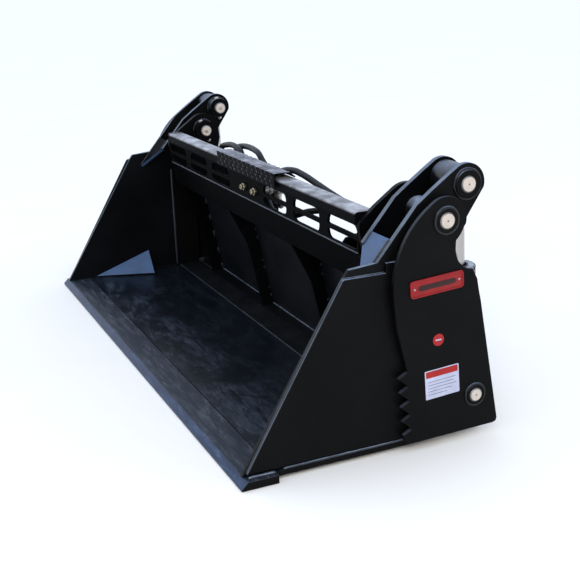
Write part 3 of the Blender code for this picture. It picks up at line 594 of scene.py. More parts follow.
# ---------- plates from the CAD
def dress_plates():
    # the rim paints on upward faces are painted highlights, and the gussets take the painted sky
    # reflection
    finishes = {
        "frame_side": (PAINT_OUTER, 0.0016, PAINT_EDGE_HIGHLIGHT),
        "outer_arm": (PAINT_OUTER, 0.0016, PAINT_RIM_HIGHLIGHT),
        "inner_arm": (PAINT, 0.0012, PAINT_RIM_HIGHLIGHT),
        "inner_ear": (PAINT, 0.0012, PAINT_INNER),
        "back_rib": (PAINT_INNER, 0.0012, PAINT),
        "bay_front_plate": (PAINT_INNER, 0.0012, None),
        "quick_attach": (PAINT, 0.0012, None),
        "corner_gusset": (PAINT_SKY_REFLECTION, 0.0012, None),
    }
    for part, (finish, width, rim) in finishes.items():
        for word, _ in SIDES:
            dress(f"{part}_{word}", finish, width, rim=rim)
    dress("mouldboard", PAINT_BACK_PAINTED_LIGHT)
    dress("top_band", PAINT_MATT)
    dress("heel_plate", PAINT_INNER)
    dress("guard_panel", PAINT_MATT)
    # the right wear plate's rims take the stronger painted highlight, the left's the fainter one
    dress("side_wear_plate_right", PAINT_OUTER, 0.0016, rim=PAINT_RIM_HIGHLIGHT)
    dress("side_wear_plate_left", PAINT_OUTER, 0.0016, rim=PAINT_EDGE_HIGHLIGHT)
    # on the right clam side only the crests take the painted highlight
    dress("clam_side_right", PAINT_INNER, rim=PAINT_RIM_HIGHLIGHT, rim_test=faces_crest)
    dress("clam_side_left", PAINT_INNER, rim=PAINT_RIM_HIGHLIGHT)
    dress("arm_closing_plate_right", PAINT_SKY_REFLECTION)
    # the left closing plate's upward faces take the matt paint, a painted shade, as that plate lies
    # in shade
    dress("arm_closing_plate_left", PAINT_SKY_REFLECTION, rim=PAINT_MATT)
    dress("clam_floor", FLOOR, 0.0006, rim=PAINT_OUTER, rim_test=faces_level)
    dress("clam_cutting_edge", EDGE, 0.0012, rim=PAINT_OUTER, rim_test=faces_aside)
    dress("clam_closing_strip", PAINT, 0.0008)
    dress("frame_cutting_strip", PAINT_INNER, 0.0008)
    dress("top_rail", PAINT_RAIL_REFLECTION, 0.0004)
    dress("rail_cover", PAINT_COVER, 0.0006)
    for word, _ in SIDES:
        # the bushings' tops take a painted highlight
        dress(f"pivot_bushing_{word}", PAINT_BUSH_HIGHLIGHT, 0.002)
        dress(f"pivot_spacer_{word}", BRONZE, 0.0008)
        dress(f"piston_{word}", STEEL, 0.0008)


# ---------- welds
MOULD = [(0.5835, 0.0203), (0.566, 0.1), (0.55, 0.18), (0.537, 0.25), (0.527, 0.3),
         (0.512, 0.34), (0.486, 0.366), (0.455, 0.378), (0.431, 0.3825)]
TACKS = (0.05, 0.13, 0.33, 0.4, 0.62, 0.7, 0.91)      # shares of a rib's height


def run_yz(x, points, dy):
    return [at(x, y + dy, z) for y, z in points]


def lay(rows, word, side, body):
    """Lays beads that are given for the right: name, points, radius, paint and pitch if any."""
    for name, points, radius, paint, *pitch in rows:
        run = [at(side * x, y, z) for x, y, z in points]
        bead(name.format(word), [run], radius, body, *pitch, material=paint)


def across_both(name, half, y, z, radius, body, paint, squash=None):
    """Lays one straight bead over the bucket's width."""
    bead(name, [[at(-half, y, z), at(half, y, z)]], radius, body, squash=squash, material=paint)


def weld_frame():
    rib_runs = []
    ear_runs = []
    for _, side in SIDES:
        for edge in (-0.0058, 0.0058):
            line = resample(run_yz(side * RIB_X + edge, MOULD[:8], -0.0015), 0.003)
            for tack in TACKS:
                first = int(tack * (len(line) - 8)) + (3 if edge > 0 else 0)
                rib_runs.append(line[first:first + 4])
        ear_runs += stitches(run_yz(side * EAR_X, MOULD[:8], -0.002), 0.022, 0.045)
    # the rib and ear beads take the rim paint, a painted highlight along them
    bead("rib_welds", rib_runs, 0.003, "frame", material=PAINT_RIM_HIGHLIGHT)
    bead("ear_welds", ear_runs, 0.004, "frame", material=PAINT_RIM_HIGHLIGHT)
    for name, y, z, radius, paint in (("back_foot_weld", 0.5815, STRIP_TOP, 0.0028, PAINT_RIM_HIGHLIGHT),
                                      ("band_weld", 0.4262, 0.379, 0.0034, WELD),
                                      ("panel_foot_weld", 0.4045, 0.4572, 0.003, PAINT_RIM_HIGHLIGHT),
                                      ("panel_head_weld", 0.4018, 0.5295, 0.0028, PAINT)):
        across_both(name, 0.7285, y, z, radius, "frame", paint)

    rail = [(EAR_X, y, z) for y, z in ((0.396, 0.532), (0.396, 0.556), (0.4, 0.5602),
                                       (0.448, 0.5602))]
    ends = [("rail_end_weld_{}", rail, 0.003, PAINT_RAIL_REFLECTION),
            ("rail_band_end_weld_{}", [(EAR_X, 0.4225, 0.38), (EAR_X, 0.408, 0.456)], 0.0032,
             PAINT)]
    collars = (("ear_pivot_weld", EAR_X, PIVOT, 0.037, 0.0036),
               ("ear_base_weld", EAR_X, BASE_PIN, 0.037, 0.0036),
               ("side_pivot_weld", 0.9207, PIVOT, 0.0305, 0.0048),
               ("side_base_weld", 0.9207, BASE_PIN, 0.027, 0.0042))
    seams = [("bay_foot_weld_{}", [(0.7465, 0.5435, STRIP_TOP), (0.9045, 0.5435, STRIP_TOP)],
              0.003, WELD),
             ("bay_ear_weld_{}", [(BAY_EAR_X, 0.545, z) for z in BAY_Z], 0.003, PAINT),
             ("bay_side_weld_{}", [(WELD_INNER_X, 0.5542, z) for z in BAY_Z], 0.003, PAINT)]
    for k, web in enumerate((0.356, 0.569)):
        for letter, edge in (("a", -0.006), ("b", 0.006)):
            seams.append((f"bracket_weld_{{}}_{k}_{letter}",
                          [(web + edge, 0.6495, z) for z in (0.028, 0.408)], 0.0032, PAINT))
    seams += [("bracket_foot_weld_{}", [(0.352, 0.6608, STRIP_TOP), (0.573, 0.6608, STRIP_TOP)],
               0.0034, PAINT),
              ("ear_foot_weld_{}", [(EAR_X, 0.59, STRIP_TOP), (EAR_X, 0.656, STRIP_TOP)],
               0.0036, PAINT)]
    for word, side in SIDES:
        lay(ends, word, side, "frame")
        for name, x, point, radius, thickness in collars:
            # the collar beads are glossy, with a painted highlight on their tops
            ring_bead(f"{name}_{word}", side * x, point, radius, thickness, "frame", PAINT_GLOSS_HIGHLIGHT)
        # a sill closes the foot of the bay beside the strip's end
        sill = [(side * x, y) for x, y in ((0.8486, 0.538), (0.907, 0.538), (0.907, 0.5536),
                                           (0.8486, 0.5536))]
        prism(f"bay_sill_{word}", sill, 0.0166, 0.0196, Matrix.Translation(at(0, 0, 0)),
              PAINT_INNER, "frame", 0.001)
        lay(seams, word, side, "frame")


def weld_clam():
    wear = [(0.888, y, z) for y, z in ((0.0222, 0.029), (0.2738, 0.4512), (0.278, 0.4545),
                                        (0.385, 0.454))]
    # the corner, wear plate and foot beads take painted highlights
    seams = [("corner_weld_{}", [(WALL_X, 0.4424, 0.024), (WALL_X, 0.4424, 0.4)], 0.0052,
              PAINT_RIM_HIGHLIGHT, 0.01),
             ("floor_side_weld_{}", [(WALL_X, 0.022, FLOOR_TOP), (WALL_X, 0.534, FLOOR_TOP)],
              0.0036, PAINT),
             ("wear_plate_weld_{}", wear, 0.002, PAINT_RIM_HIGHLIGHT)]
    feet = [("wear_foot_weld_{}", [(0.8965, 0.112, 0.0245), (0.8965, 0.4395, 0.0245)], 0.0032,
             PAINT_RIM_HIGHLIGHT),
            ("edge_end_weld_{}", [(0.8985, 0.024, FLOOR_TOP), (0.8985, 0.09, FLOOR_TOP)], 0.0048,
             PAINT_BUSH_HIGHLIGHT, 0.008)]
    for k, (x, low) in enumerate(((0.7905, 0.497), (0.8743, 0.432))):
        y = 0.366 + (low - 0.4783) * 0.8557 - 0.001        # on the closing plate's slope
        feet.append((f"closing_weld_{{}}_{k}", [(x, y, low), (x, 0.4065, 0.526)], 0.003,
                     PAINT_GLOSS_HIGHLIGHT))
    for word, side in SIDES:
        lay(seams, word, side, "clam")
        for name, x in (("arm_rod_weld", 0.8905), ("inner_arm_weld", 0.7742)):
            # the collar beads are glossy, with a painted highlight on their tops
            ring_bead(f"{name}_{word}", side * x, ROD_PIN, 0.0352, 0.0042, "clam", PAINT_GLOSS_HIGHLIGHT)
        lay(feet, word, side, "clam")
        corner, head, toe = (at(side * x, y, z) for x, y, z in (
            (0.873, 0.119, 0.0215), (0.873, 0.326, 0.094), (0.803, 0.326, 0.0215)))
        bead(f"gusset_weld_{word}", [[corner, head], [corner, toe]], 0.0028, "clam",
             material=PAINT)
    across_both("edge_seam_weld", 0.873, 0.0937, 0.0202, 0.0014, "clam", PAINT_MATT, UP)
    across_both("strip_seam_weld", 0.873, 0.4549, 0.0202, 0.0028, "clam", PAINT_EDGE_HIGHLIGHT, UP)


# ---------- pins and their fastenings
def nipple(name, center, direction, body):
    hexagon(f"{name}_hex", 0.009, 0.0, 0.004, center, direction, ZINC, body)
    profile = [(0.0, 0.0125), (0.002, 0.0122), (0.0032, 0.0105), (0.0032, 0.009),
               (0.002, 0.0075), (0.0028, 0.004), (0.0028, -0.001), (0.0, -0.001)]
    lathe(f"{name}_head", profile, center, direction, BRASS, body, 20)


def shaft(name, node, x_inner, x_outer, point, side, body, r):
    """A pin: grimy sides, a turned face with a centre hole at each end, a nipple inside."""
    length = x_outer - x_inner
    profile = [(0.0, 0.0004), (r - 0.0022, 0.0004), (r, 0.0024), (r, length - 0.0024),
               (r - 0.0022, length - 0.0004), (0.0, length - 0.0004)]
    start = at(side * x_inner, *point)
    lathe(name, profile, start, (side, 0, 0), PIN_SIDE, body, 64, [node])
    face = [(0.0, -0.003), (0.0014, -0.003), (0.0026, 0.0003), (0.0075, 0.0004),
            (0.0079, 0.0001), (0.0083, 0.0004), (r - 0.007, 0.0004), (r - 0.0066, 0.0001),
            (r - 0.0062, 0.0004), (r - 0.0036, 0.0004), (r - 0.003, 0.0), (r - 0.003, -0.001),
            (0.0, -0.004)]
    for word, x_end, out in (("inner", x_inner, -side), ("outer", x_outer, side)):
        lathe(f"{name}_{word}_face", face, at(side * x_end, *point) - ACROSS * out * 0.0004,
              (out, 0, 0), PIN_FACE, body, 56)
    nipple(f"{name}_nipple", start, (-side, 0, 0), body)


def cross_bolt(name, x, point, radius, turn, side, body):
    """The bolt through a collar that locks its pin: head one side, nut the other."""
    out = Vector((0.0, cos(turn), sin(turn)))
    center = at(side * x, *point)
    washer = [(0.0036, 0.0), (0.0088, 0.0), (0.0088, 0.0014), (0.0036, 0.0014)]
    for end, away, height in (("head", out, 0.0065), ("nut", -out, 0.008)):
        spot = center + away * radius
        hexagon(f"{name}_{end}", 0.013, -0.001, height, spot, away, ZINC, body)
        lathe(f"{name}_{end}_washer", washer, spot - away * 0.0008, away, ZINC, body, 28)
    stud = [(0.0, 0.0115), (0.0028, 0.011), (0.0036, 0.01), (0.0036, 0.0), (0.0, 0.0)]
    lathe(f"{name}_stud", stud, center - out * radius, -out, ZINC, body, 20)


def build_pins():
    for word, side in SIDES:
        for part, ends, point, body, radius in (
                ("pivot_pin", (0.692, 0.928), PIVOT, "frame", PIN_RADIUS),
                ("base_pin", (0.692, 0.928), BASE_PIN, "frame", BASE_PIN_RADIUS),
                ("rod_pin", (0.7335, 0.9005), ROD_PIN, "clam", PIN_RADIUS)):
            shaft(f"{part}_{word}_turned", f"{part}_{word}", *ends, point, side, body, radius)
        for part, x, point, radius, degrees, body in (
                ("pivot_lock", 0.7155, PIVOT, 0.0345, 112, "frame"),
                ("base_lock", 0.7155, BASE_PIN, 0.0345, 20, "frame"),
                ("rod_lock", 0.761, ROD_PIN, 0.033, 97, "clam")):
            cross_bolt(f"{part}_{word}", x, point, radius, radians(degrees), side, body)


# ---------- hydraulic cylinders
BARREL_RADIUS = 0.0455
BARREL_BORE = 0.04
BARREL_TOP = 0.292
GLAND_RADIUS = 0.052
GLAND_BORE = 0.03
GLAND_TOP = 0.31
ROD_RADIUS = 0.0255
ALONG = Vector((0.0, ROD_PIN[0] - BASE_PIN[0], ROD_PIN[1] - BASE_PIN[1])).normalized()
REARWARD = Vector((0.0, ALONG.z, -ALONG.y))


def on_axis(side, station, out=0.0):
    """A point along a cylinder from its base pin, and a distance to its rear."""
    return at(side * CYLINDER_X, *BASE_PIN) + ALONG * station + REARWARD * out


def cut(piece, cutter):
    """Takes cutter's shape out of a piece and keeps the result as its mesh."""
    modifier = piece.modifiers.new("cut", "BOOLEAN")
    modifier.operation = "DIFFERENCE"
    modifier.solver = "EXACT"
    modifier.object = cutter
    bpy.context.view_layer.update()
    graph = bpy.context.evaluated_depsgraph_get()
    mesh = bpy.data.meshes.new_from_object(piece.evaluated_get(graph))
    piece.modifiers.clear()
    piece.data = mesh
    mesh.shade_smooth()
    mesh.set_sharp_from_angle(angle=radians(28.0))
    bpy.data.objects.remove(cutter, do_unlink=True)


def notches(side, count=24):
    """The cutter for the spanner slots round a gland's top."""
    shape = bmesh.new()
    placed = facing(on_axis(side, 0.0), ALONG)
    for i in range(count):
        turn = Matrix.Rotation(2 * pi * (i + 0.5) / count, 4, "Z")
        block = turn @ Matrix.Translation((GLAND_RADIUS, 0.0, GLAND_TOP))
        block = block @ Matrix.Diagonal((0.009, 0.0065, 0.018, 1))
        bmesh.ops.create_cube(shape, size=1.0, matrix=placed @ block)
    mesh = bpy.data.meshes.new("notches")
    shape.to_mesh(mesh)
    shape.free()
    return place("notches", mesh)


def eye(name, half, radius, center, body, material, pin_radius):
    """A bored eye with chamfered faces and a bushing lining its bore."""
    c = 0.0025
    bore = pin_radius + 0.003
    profile = [(bore, -half), (radius - c, -half), (radius, c - half), (radius, half - c),
               (radius - c, half), (bore, half)]
    lathe(name, profile, center, (1, 0, 0), material, body, 64)
    inner = pin_radius + 0.0004
    lathe(f"{name}_bushing", [(inner, 0.0004 - half), (bore - 0.0001, 0.0004 - half),
                              (bore - 0.0001, half - 0.0004), (inner, half - 0.0004)],
          center, (1, 0, 0), BRONZE, body, 48)


def build_cylinders():
    for word, side in SIDES:
        body = f"barrel_{word}"
        foot = on_axis(side, 0.0)
        r = BARREL_RADIUS
        profile = [(0.0, 0.055), (BARREL_BORE, 0.055), (BARREL_BORE, BARREL_TOP), (r, BARREL_TOP),
                   (r, 0.042), (r - 0.0045, 0.03), (r - 0.01, 0.025), (0.0, 0.025)]
        lathe(f"barrel_tube_{word}", profile, foot, ALONG, PAINT_CYLINDER, body, 72,
              [f"cylinder_barrel_{word}"])
        eye(f"barrel_eye_{word}", 0.036, 0.04, foot, body, PAINT_CYLINDER, BASE_PIN_RADIUS)
        turns = [2 * pi * i / 60 for i in range(61)]
        weld = [on_axis(side, 0.03) + (REARWARD * cos(a) + ACROSS * side * sin(a)) * 0.04
                for a in turns]
        bead(f"barrel_weld_{word}", [weld], 0.004, body, closed=True, material=PAINT_CYLINDER)
        for k, station in enumerate((0.065, 0.105)):
            boss = on_axis(side, station)
            boss.x = side * 0.7905
            profile = [(0.0, 0.0), (0.0125, 0.0), (0.0125, 0.0145), (0.0115, 0.0155),
                       (0.0, 0.0155)]
            lathe(f"port_boss_{word}_{k}", profile, boss, (-side, 0, 0), PAINT_CYLINDER, body, 40)

        low, top, outer = BARREL_TOP - 0.006, GLAND_TOP, GLAND_RADIUS
        profile = [(GLAND_BORE, top), (outer - 0.002, top), (outer, top - 0.002),
                   (outer, top - 0.011), (outer - 0.001, top - 0.012),
                   (outer, top - 0.013), (outer, low + 0.0015), (outer - 0.0015, low),
                   (r + 0.0002, low), (r + 0.0002, BARREL_TOP + 0.0003),
                   (GLAND_BORE, BARREL_TOP + 0.0003)]
        # the gland's top carries a painted highlight
        gland = lathe(f"gland_{word}_turned", profile, foot, ALONG, PAINT_GLAND_HIGHLIGHT, body, 96,
                      [f"cylinder_gland_{word}"])
        cut(gland, notches(side))
        lip = GLAND_BORE + 0.0002
        lathe(f"wiper_seal_{word}", [(lip, top - 0.0004), (lip + 0.004, top - 0.0004),
                                     (lip + 0.0036, top + 0.0012), (lip + 0.001, top + 0.0022),
                                     (lip, top + 0.002)],
              foot, ALONG, RUBBER, body, 48)

        out = r + 0.012
        stations = ((0.247, r - 0.001), (0.2466, r + 0.006), (0.243, out - 0.002), (0.235, out),
                    (0.19, out), (0.118, out), (0.11, out - 0.002), (0.1055, r + 0.006),
                    (0.105, r - 0.001))
        line = resample([on_axis(side, s, o) for s, o in stations], 0.0035)
        tube(f"transfer_line_{word}", line, 0.0048, 16, 50.0, body, ZINC,
             f"transfer_tube_{word}")
        for k, station in enumerate((0.247, 0.105)):
            spot = on_axis(side, station, r - 0.0006)
            hexagon(f"transfer_nut_{word}_{k}", 0.015, 0.0, 0.0075, spot, REARWARD, ZINC, body)
        clamp = on_axis(side, 0.18, 0.0)
        band = [(r + 0.0002, -0.007), (r + 0.0016, -0.007), (r + 0.0016, 0.007),
                (r + 0.0002, 0.007)]
        lathe(f"tube_clamp_{word}", band, clamp, ALONG, ZINC, body, 64)

        build_rod(word, side)


def build_rod(word, side):
    body = f"rod_{word}"
    top = at(side * CYLINDER_X, *ROD_PIN)
    nose = 0.32
    neck = 0.015
    profile = [(0.0, 0.036), (ROD_RADIUS, 0.036), (ROD_RADIUS, nose), (neck, nose),
               (neck, 0.35), (0.0, 0.35)]
    lathe(f"rod_{word}_chromed", profile, top, -ALONG, CHROME, body, 72,
          [f"cylinder_rod_{word}"])
    # the eye is glossy, with a painted highlight on its top
    eye(f"rod_eye_{word}", 0.04, 0.042, top, body, PAINT_GLOSS_HIGHLIGHT, PIN_RADIUS)
    neck_profile = [(0.0, 0.03), (0.034, 0.03), (0.033, 0.038), (0.029, 0.05),
                    (0.027, 0.054), (0.0, 0.054)]
    lathe(f"rod_neck_{word}", neck_profile, top, -ALONG, PAINT_CYLINDER, body, 56)


# ---------- hoses and couplings
HOSE_RADIUS = 0.0095
FITTING_Z = 0.4936
TEE_Y = 0.476
END_X = 0.7747
PORT_LOW = tuple(on_axis(1, 0.065) - Vector((0, LIP, 0)))[1:]
PORT_HIGH = tuple(on_axis(1, 0.105) - Vector((0, LIP, 0)))[1:]


def into_port(side, port, bend_x):
    """A hose's last points, down the ear and through it into a barrel's port."""
    y, z = port
    return [(side * bend_x, y - 0.003, z + 0.1), (side * (bend_x + 0.006), y, z + 0.052),
            (side * (bend_x + 0.03), y, z + 0.014), (side * 0.735, y, z + 0.001),
            (side * END_X, y, z)]


HOSES = {
    "hose_left_upper":
        [(-0.0335, TEE_Y, FITTING_Z), (-0.045, TEE_Y, FITTING_Z), (-0.1275, 0.475, 0.4953),
         (-0.1789, 0.474, 0.519), (-0.1987, 0.474, 0.5491), (-0.213, 0.474, 0.565),
         (-0.242, 0.474, 0.572), (-0.292, TEE_Y, 0.574), (-0.365, 0.482, 0.563),
         (-0.45, 0.498, 0.542), (-0.53, 0.53, 0.5), (-0.6, 0.568, 0.44),
         (-0.65, 0.6, 0.37)] + into_port(-1, PORT_HIGH, 0.668),
    "hose_left_lower":
        [(0.077, TEE_Y, 0.4791), (0.077, TEE_Y, 0.4686), (0.069, 0.484, 0.4446),
         (0.035, 0.502, 0.4306), (-0.01, 0.51, 0.4446), (-0.041, 0.51, 0.4866),
         (-0.051, 0.498, 0.5286), (-0.0576, 0.484, 0.5595), (-0.0985, 0.485, 0.5786),
         (-0.201, 0.494, 0.579), (-0.301, 0.503, 0.564), (-0.37, 0.52, 0.54),
         (-0.45, 0.545, 0.504), (-0.53, 0.575, 0.458), (-0.595, 0.6, 0.395),
         (-0.63, 0.612, 0.32)] + into_port(-1, PORT_LOW, 0.64),
    "hose_right_upper":
        [(0.077, TEE_Y, 0.5088), (0.077, TEE_Y, 0.5186), (0.093, TEE_Y, 0.5416),
         (0.1318, 0.478, 0.558), (0.183, 0.484, 0.5645), (0.214, 0.488, 0.562),
         (0.256, 0.492, 0.556), (0.312, 0.498, 0.544), (0.38, 0.508, 0.528),
         (0.45, 0.525, 0.508), (0.53, 0.552, 0.476), (0.6, 0.58, 0.425),
         (0.65, 0.603, 0.365)] + into_port(1, PORT_HIGH, 0.668),
    "hose_right_lower":
        [(-0.007, TEE_Y, 0.4791), (-0.007, TEE_Y, 0.4686), (0.005, 0.474, 0.4406),
         (0.045, 0.474, 0.4166), (0.105, 0.48, 0.4126), (0.1659, 0.49, 0.427),
         (0.24, 0.506, 0.452), (0.34, 0.53, 0.472), (0.43, 0.553, 0.474),
         (0.52, 0.578, 0.458), (0.585, 0.598, 0.43), (0.622, 0.608, 0.375),
         (0.634, 0.612, 0.315)] + into_port(1, PORT_LOW, 0.64),
}


def smooth_route(points, pieces):
    """A smooth curve through points, with several steps between neighbours."""
    route = []
    padded = [points[0] * 2 - points[1], *points, points[-1] * 2 - points[-2]]
    for i in range(1, len(padded) - 2):
        a, b, c, d = padded[i - 1:i + 3]
        for step in range(pieces):
            t = step / pieces
            route.append(0.5 * (2 * b + (c - a) * t + (2 * a - 5 * b + 4 * c - d) * t * t
                                + (3 * b - a - 3 * c + d) * t ** 3))
    route.append(points[-1])
    return route


def crimp(name, point, direction, length=0.03):
    """A hose-end ferrule with crimped flats."""
    r = HOSE_RADIUS + 0.0018
    profile = [(0.0, 0.0), (r - 0.001, 0.0), (r, 0.001)]
    for k in range(4):
        start = 0.004 + k * 0.006
        profile += [(r, start), (r - 0.0009, start + 0.001), (r - 0.0009, start + 0.003),
                    (r, start + 0.004)]
    profile += [(r, length - 0.001), (r - 0.001, length), (0.0, length)]
    lathe(name, profile, point, direction, ZINC, "frame", 40)


def build_hoses():
    for name, points in HOSES.items():
        route = smooth_route([at(*p) for p in points], 8)
        tube(f"{name}_cover", resample(route, 0.004), HOSE_RADIUS, 20, 60.0, "frame", RUBBER,
             name)
        start = (route[1] - route[0]).normalized()
        crimp(f"{name}_crimp_a", route[0] + start * 0.001, start)
        hexagon(f"{name}_nut_a", 0.022, 0.0, 0.0085, route[0] - start * 0.001, start, ZINC)
        end = (route[-2] - route[-1]).normalized()
        crimp(f"{name}_crimp_b", route[-1] + end * 0.0085, end, 0.024)
        hexagon(f"{name}_nut_b", 0.022, 0.0003, 0.0095, route[-1], end, ZINC)


def build_fittings():
    """Hose couplings through the guard panel, each with a tee behind."""
    for word, x in (("left", -0.007), ("right", 0.077)):
        face = at(x, 0.403, FITTING_Z)
        profile = [(0.0, 0.012), (0.0046, 0.012), (0.005, 0.015), (0.007, 0.015),
                   (0.0082, 0.0138), (0.0082, 0.0122), (0.0074, 0.0118), (0.0074, 0.0098),
                   (0.0082, 0.0094), (0.0082, 0.007), (0.01, -0.005), (0.0, -0.005)]
        lathe(f"coupling_{word}", profile, face, -REAR, BRASS, "frame", 48,
              [f"bulkhead_fitting_{word}"])
        hexagon(f"coupling_flange_{word}", 0.0216, 0.0004, 0.0078, face, -REAR, BRASS)
        back = at(x, 0.4112, FITTING_Z)
        hexagon(f"coupling_nut_{word}", 0.027, 0.0, 0.0095, back, REAR, ZINC)
        lathe(f"coupling_tail_{word}", [(0.0, 0.0), (0.0095, 0.0), (0.0095, 0.054),
                                        (0.0, 0.054)], back, REAR, ZINC, "frame", 32)
        hexagon(f"coupling_tail_nut_{word}", 0.023, 0.034, 0.046, back, REAR, ZINC)
        placed = Matrix.Translation(at(x, TEE_Y, FITTING_Z))
        block = [(-0.025, -0.012), (0.025, -0.012), (0.025, 0.012), (-0.025, 0.012)]
        prism(f"tee_block_{word}", block, -0.013, 0.013, placed, ZINC, "frame", 0.0025)


# ---------- cover, badge and stickers
def rounded_box(width, height, radius, steps=8):
    """The outline of a rectangle with round corners."""
    corners = []
    for cx, cy, start in ((width / 2 - radius, height / 2 - radius, 0),
                          (radius - width / 2, height / 2 - radius, 90),
                          (radius - width / 2, radius - height / 2, 180),
                          (width / 2 - radius, radius - height / 2, 270)):
        for i in range(steps + 1):
            a = radians(start + 90 * i / steps)
            corners.append((cx + radius * cos(a), cy + radius * sin(a)))
    return corners


def tread(shape, center, u, v, normal, length=0.014, width=0.0036, height=0.0007):
    """One raised lozenge of a tread plate."""
    half, w = length / 2, width / 2
    flat = [(-half, 0), (-half * 0.45, -w), (half * 0.45, -w), (half, 0), (half * 0.45, w),
            (-half * 0.45, w)]
    low = loop(shape, [center + u * a + v * b - normal * 0.0006 for a, b in flat])
    high = loop(shape, [center + u * a * 0.82 + v * b * 0.55 + normal * height for a, b in flat])
    shape.faces.new(low[::-1])
    shape.faces.new(high)
    wall(shape, low, high)


def build_cover():
    shape = bmesh.new()
    faces = ((at(0, 0.384, 0), UP, -REAR, (0.542, 0.574)),
             (at(0, 0, 0.58), REAR, UP, (0.39, 0.431)))
    for base, across, normal, (start, stop) in faces:
        rows = max(1, round((stop - start) / 0.0125))
        for row in range(rows + 1):
            along = start + (stop - start) * row / rows
            count = 24
            for k in range(count + 1):
                x = -0.182 + 0.438 * (k + 0.5 * (row % 2)) / (count + 0.5)
                sign = 1 if (k + row) % 2 else -1
                u = (ACROSS + across * sign).normalized()
                center = base + ACROSS * x + across * along
                tread(shape, center, u, normal.cross(u), normal)
    keep(to_object("cover_tread", shape, 25.0), "frame", PAINT_COVER)


def side_face(x, point, lean=0.0):
    """A frame on a side face: x runs rearward as seen from outside, y runs up."""
    sign = 1 if x > 0 else -1
    columns = Matrix(((0, 0, sign), (cos(lean), -sin(lean), 0),
                      (sin(lean), cos(lean), 0))).to_4x4()
    return Matrix.Translation(at(x, *point)) @ columns


def build_badges():
    """A plain red plate with a raised rim, an inlaid bar and two rivets."""
    lean = atan2(0.01, 0.144)
    for word, side in SIDES:
        placed = side_face(side * FACE_X, (0.5065, 0.415), lean)
        node = f"side_badge_{word}"
        outer = rounded_box(0.144, 0.042, 0.008)
        prism(f"{node}_plate", outer, 0.0, 0.0026, placed, RED, "frame", 0.0006,
              [node])
        inner = rounded_box(0.138, 0.036, 0.0055)
        shape = bmesh.new()
        rings = []
        for line, height in ((outer, 0.0024), (outer, 0.0038), (inner, 0.0038), (inner, 0.0024)):
            rings.append(loop(shape, [placed @ Vector((a, b, height)) for a, b in line]))
        for a, b in zip(rings, rings[1:] + rings[:1]):
            wall(shape, a, b)
        keep(to_object(f"{node}_rim", shape, 40.0), "frame", RED)
        prism(f"{node}_bar", rounded_box(0.102, 0.013, 0.0062), 0.002, 0.0034, placed,
              RED_DARK, "frame", 0.0004)
        for k, u in enumerate((-0.0605, 0.0605)):
            center = placed @ Vector((u, 0.0, 0.0024))
            lathe(f"{node}_rivet_{k}", [(0.0, 0.0016), (0.0018, 0.0013), (0.0029, 0.0), (0.0, 0.0)],
                  center, (side, 0, 0), STEEL, "frame", 24)


def build_stickers():
    """A plain dot and a plain label with a coloured head and grey rules."""
    def flat(name, outline, low, high, placed, material):
        prism(name, outline, low, high, placed, material, "frame", 0.0)

    x = FACE_X - 0.0001
    dot = side_face(x, (0.513, 0.276))
    flat("side_dot", polygon(48, 0.015), 0.0, 0.0004, dot, LABEL_RED)
    flat("side_dot_rule", rounded_box(0.017, 0.0032, 0.0014, 3), 0.0003, 0.0006, dot, WHITE)
    label = side_face(x, (0.525, 0.1665), radians(3.5))
    flat("side_label", rounded_box(0.0945, 0.074, 0.002, 4), 0.0, 0.0004, label, WHITE)
    head = label @ Matrix.Translation((0.0, 0.0262, 0.0))
    flat("side_label_head", rounded_box(0.0885, 0.0165, 0.001, 3), 0.0003, 0.0006, head, LABEL_RED)
    for k, width in enumerate((0.078, 0.072, 0.08, 0.066, 0.052)):
        row = label @ Matrix.Translation(((width - 0.08) / 2, 0.007 - 0.0082 * k, 0.0))
        flat(f"side_label_rule_{k}", rounded_box(width, 0.0016, 0.0007, 2), 0.0003, 0.0005, row,
             GREY)


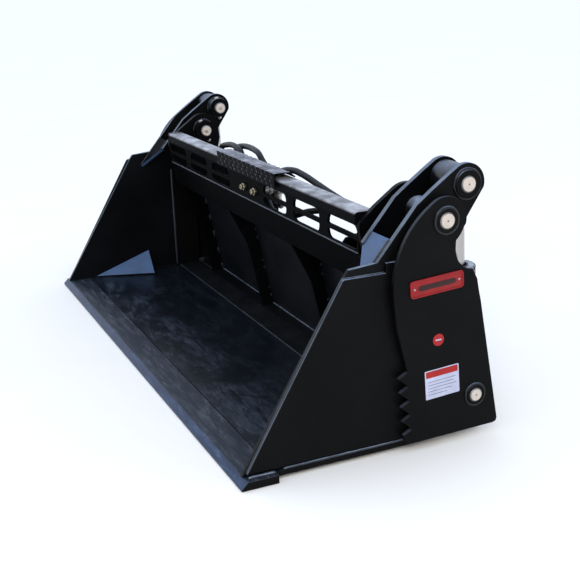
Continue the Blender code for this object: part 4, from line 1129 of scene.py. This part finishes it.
# ---------- studio
def build_studio():
    scene = bpy.context.scene
    ground = bmesh.new()
    bmesh.ops.create_circle(ground, cap_ends=True, segments=96, radius=60.0)
    floor = to_object("studio_floor", ground)
    floor.location.z = -0.0012
    g = Graph("pale_floor")
    cloud = g.noise(1.4, 4.0, 0.5)
    pale = g.mix(g.ramp(cloud, 0.3, 0.7), (0.9, 0.845, 0.755), (0.92, 0.865, 0.775))
    g.put(g.shader, Base_Color=pale, Roughness=g.ramp(cloud, 0.2, 0.8, 0.75, 0.85),
          Specular_IOR_Level=0.2)
    floor.data.materials.append(g.material)

    world = bpy.data.worlds.new("soft_sky")
    scene.world = world
    world.use_nodes = True
    tree = world.node_tree
    coords, split, ramp = (tree.nodes.new(f"ShaderNode{kind}")
                           for kind in ("TexCoord", "SeparateXYZ", "ValToRGB"))
    background = tree.nodes["Background"]
    tree.links.new(coords.outputs["Generated"], split.inputs[0])
    tree.links.new(split.outputs["Z"], ramp.inputs[0])
    tree.links.new(ramp.outputs[0], background.inputs["Color"])
    elements = ramp.color_ramp.elements
    elements[0].color = (0.84, 0.84, 0.84, 1)
    elements[1].color = (0.6, 0.74, 1.0, 1)
    elements.new(0.3).color = (0.76, 0.82, 0.92, 1)
    background.inputs["Strength"].default_value = 1.5

    key = bpy.data.lights.new("soft_key", "AREA")
    key.shape = "RECTANGLE"
    key.size = 3.5
    key.size_y = 2.5
    key.energy = 140.0
    key.color = (1.0, 0.93, 0.84)
    lamp = place("soft_key", key)
    lamp.location = (5.5, -2.0, 3.6)
    aim = Vector((0.2, 0.0, 0.3)) - lamp.location
    lamp.rotation_euler = aim.to_track_quat("-Z", "Y").to_euler()
    scene.view_settings.view_transform = "Standard"


def build_camera():
    """The photograph's view: where the camera stood, how it was turned, and its long lens."""
    azimuth, elevation, roll = (radians(a) for a in (66.2695, 17.4279, 1.9684))
    focal = 1024.25
    width = 580.0
    back = Vector((sin(azimuth) * cos(elevation),
                   -cos(azimuth) * cos(elevation), sin(elevation)))
    right = (-back).cross(UP).normalized()
    down = (-back).cross(right)
    across = right * cos(roll) + down * sin(roll)
    fall = -right * sin(roll) + down * cos(roll)
    spot = at(2.861, -0.72, 1.1339)
    data = bpy.data.cameras.new("photo_view")
    data.sensor_width = 36.0
    data.lens = focal * data.sensor_width / width
    data.shift_x = 0.0005
    data.shift_y = -0.0057
    camera = place("photo_view", data)
    turned = Matrix((across, -fall, back)).transposed().to_4x4()
    camera.matrix_world = Matrix.Translation(spot) @ turned
    bpy.context.scene.camera = camera


dress_plates()
weld_frame()
weld_clam()
build_pins()
build_cylinders()
build_hoses()
build_fittings()
build_cover()
build_badges()
build_stickers()
build_studio()
build_camera()

bpy.context.view_layer.update()
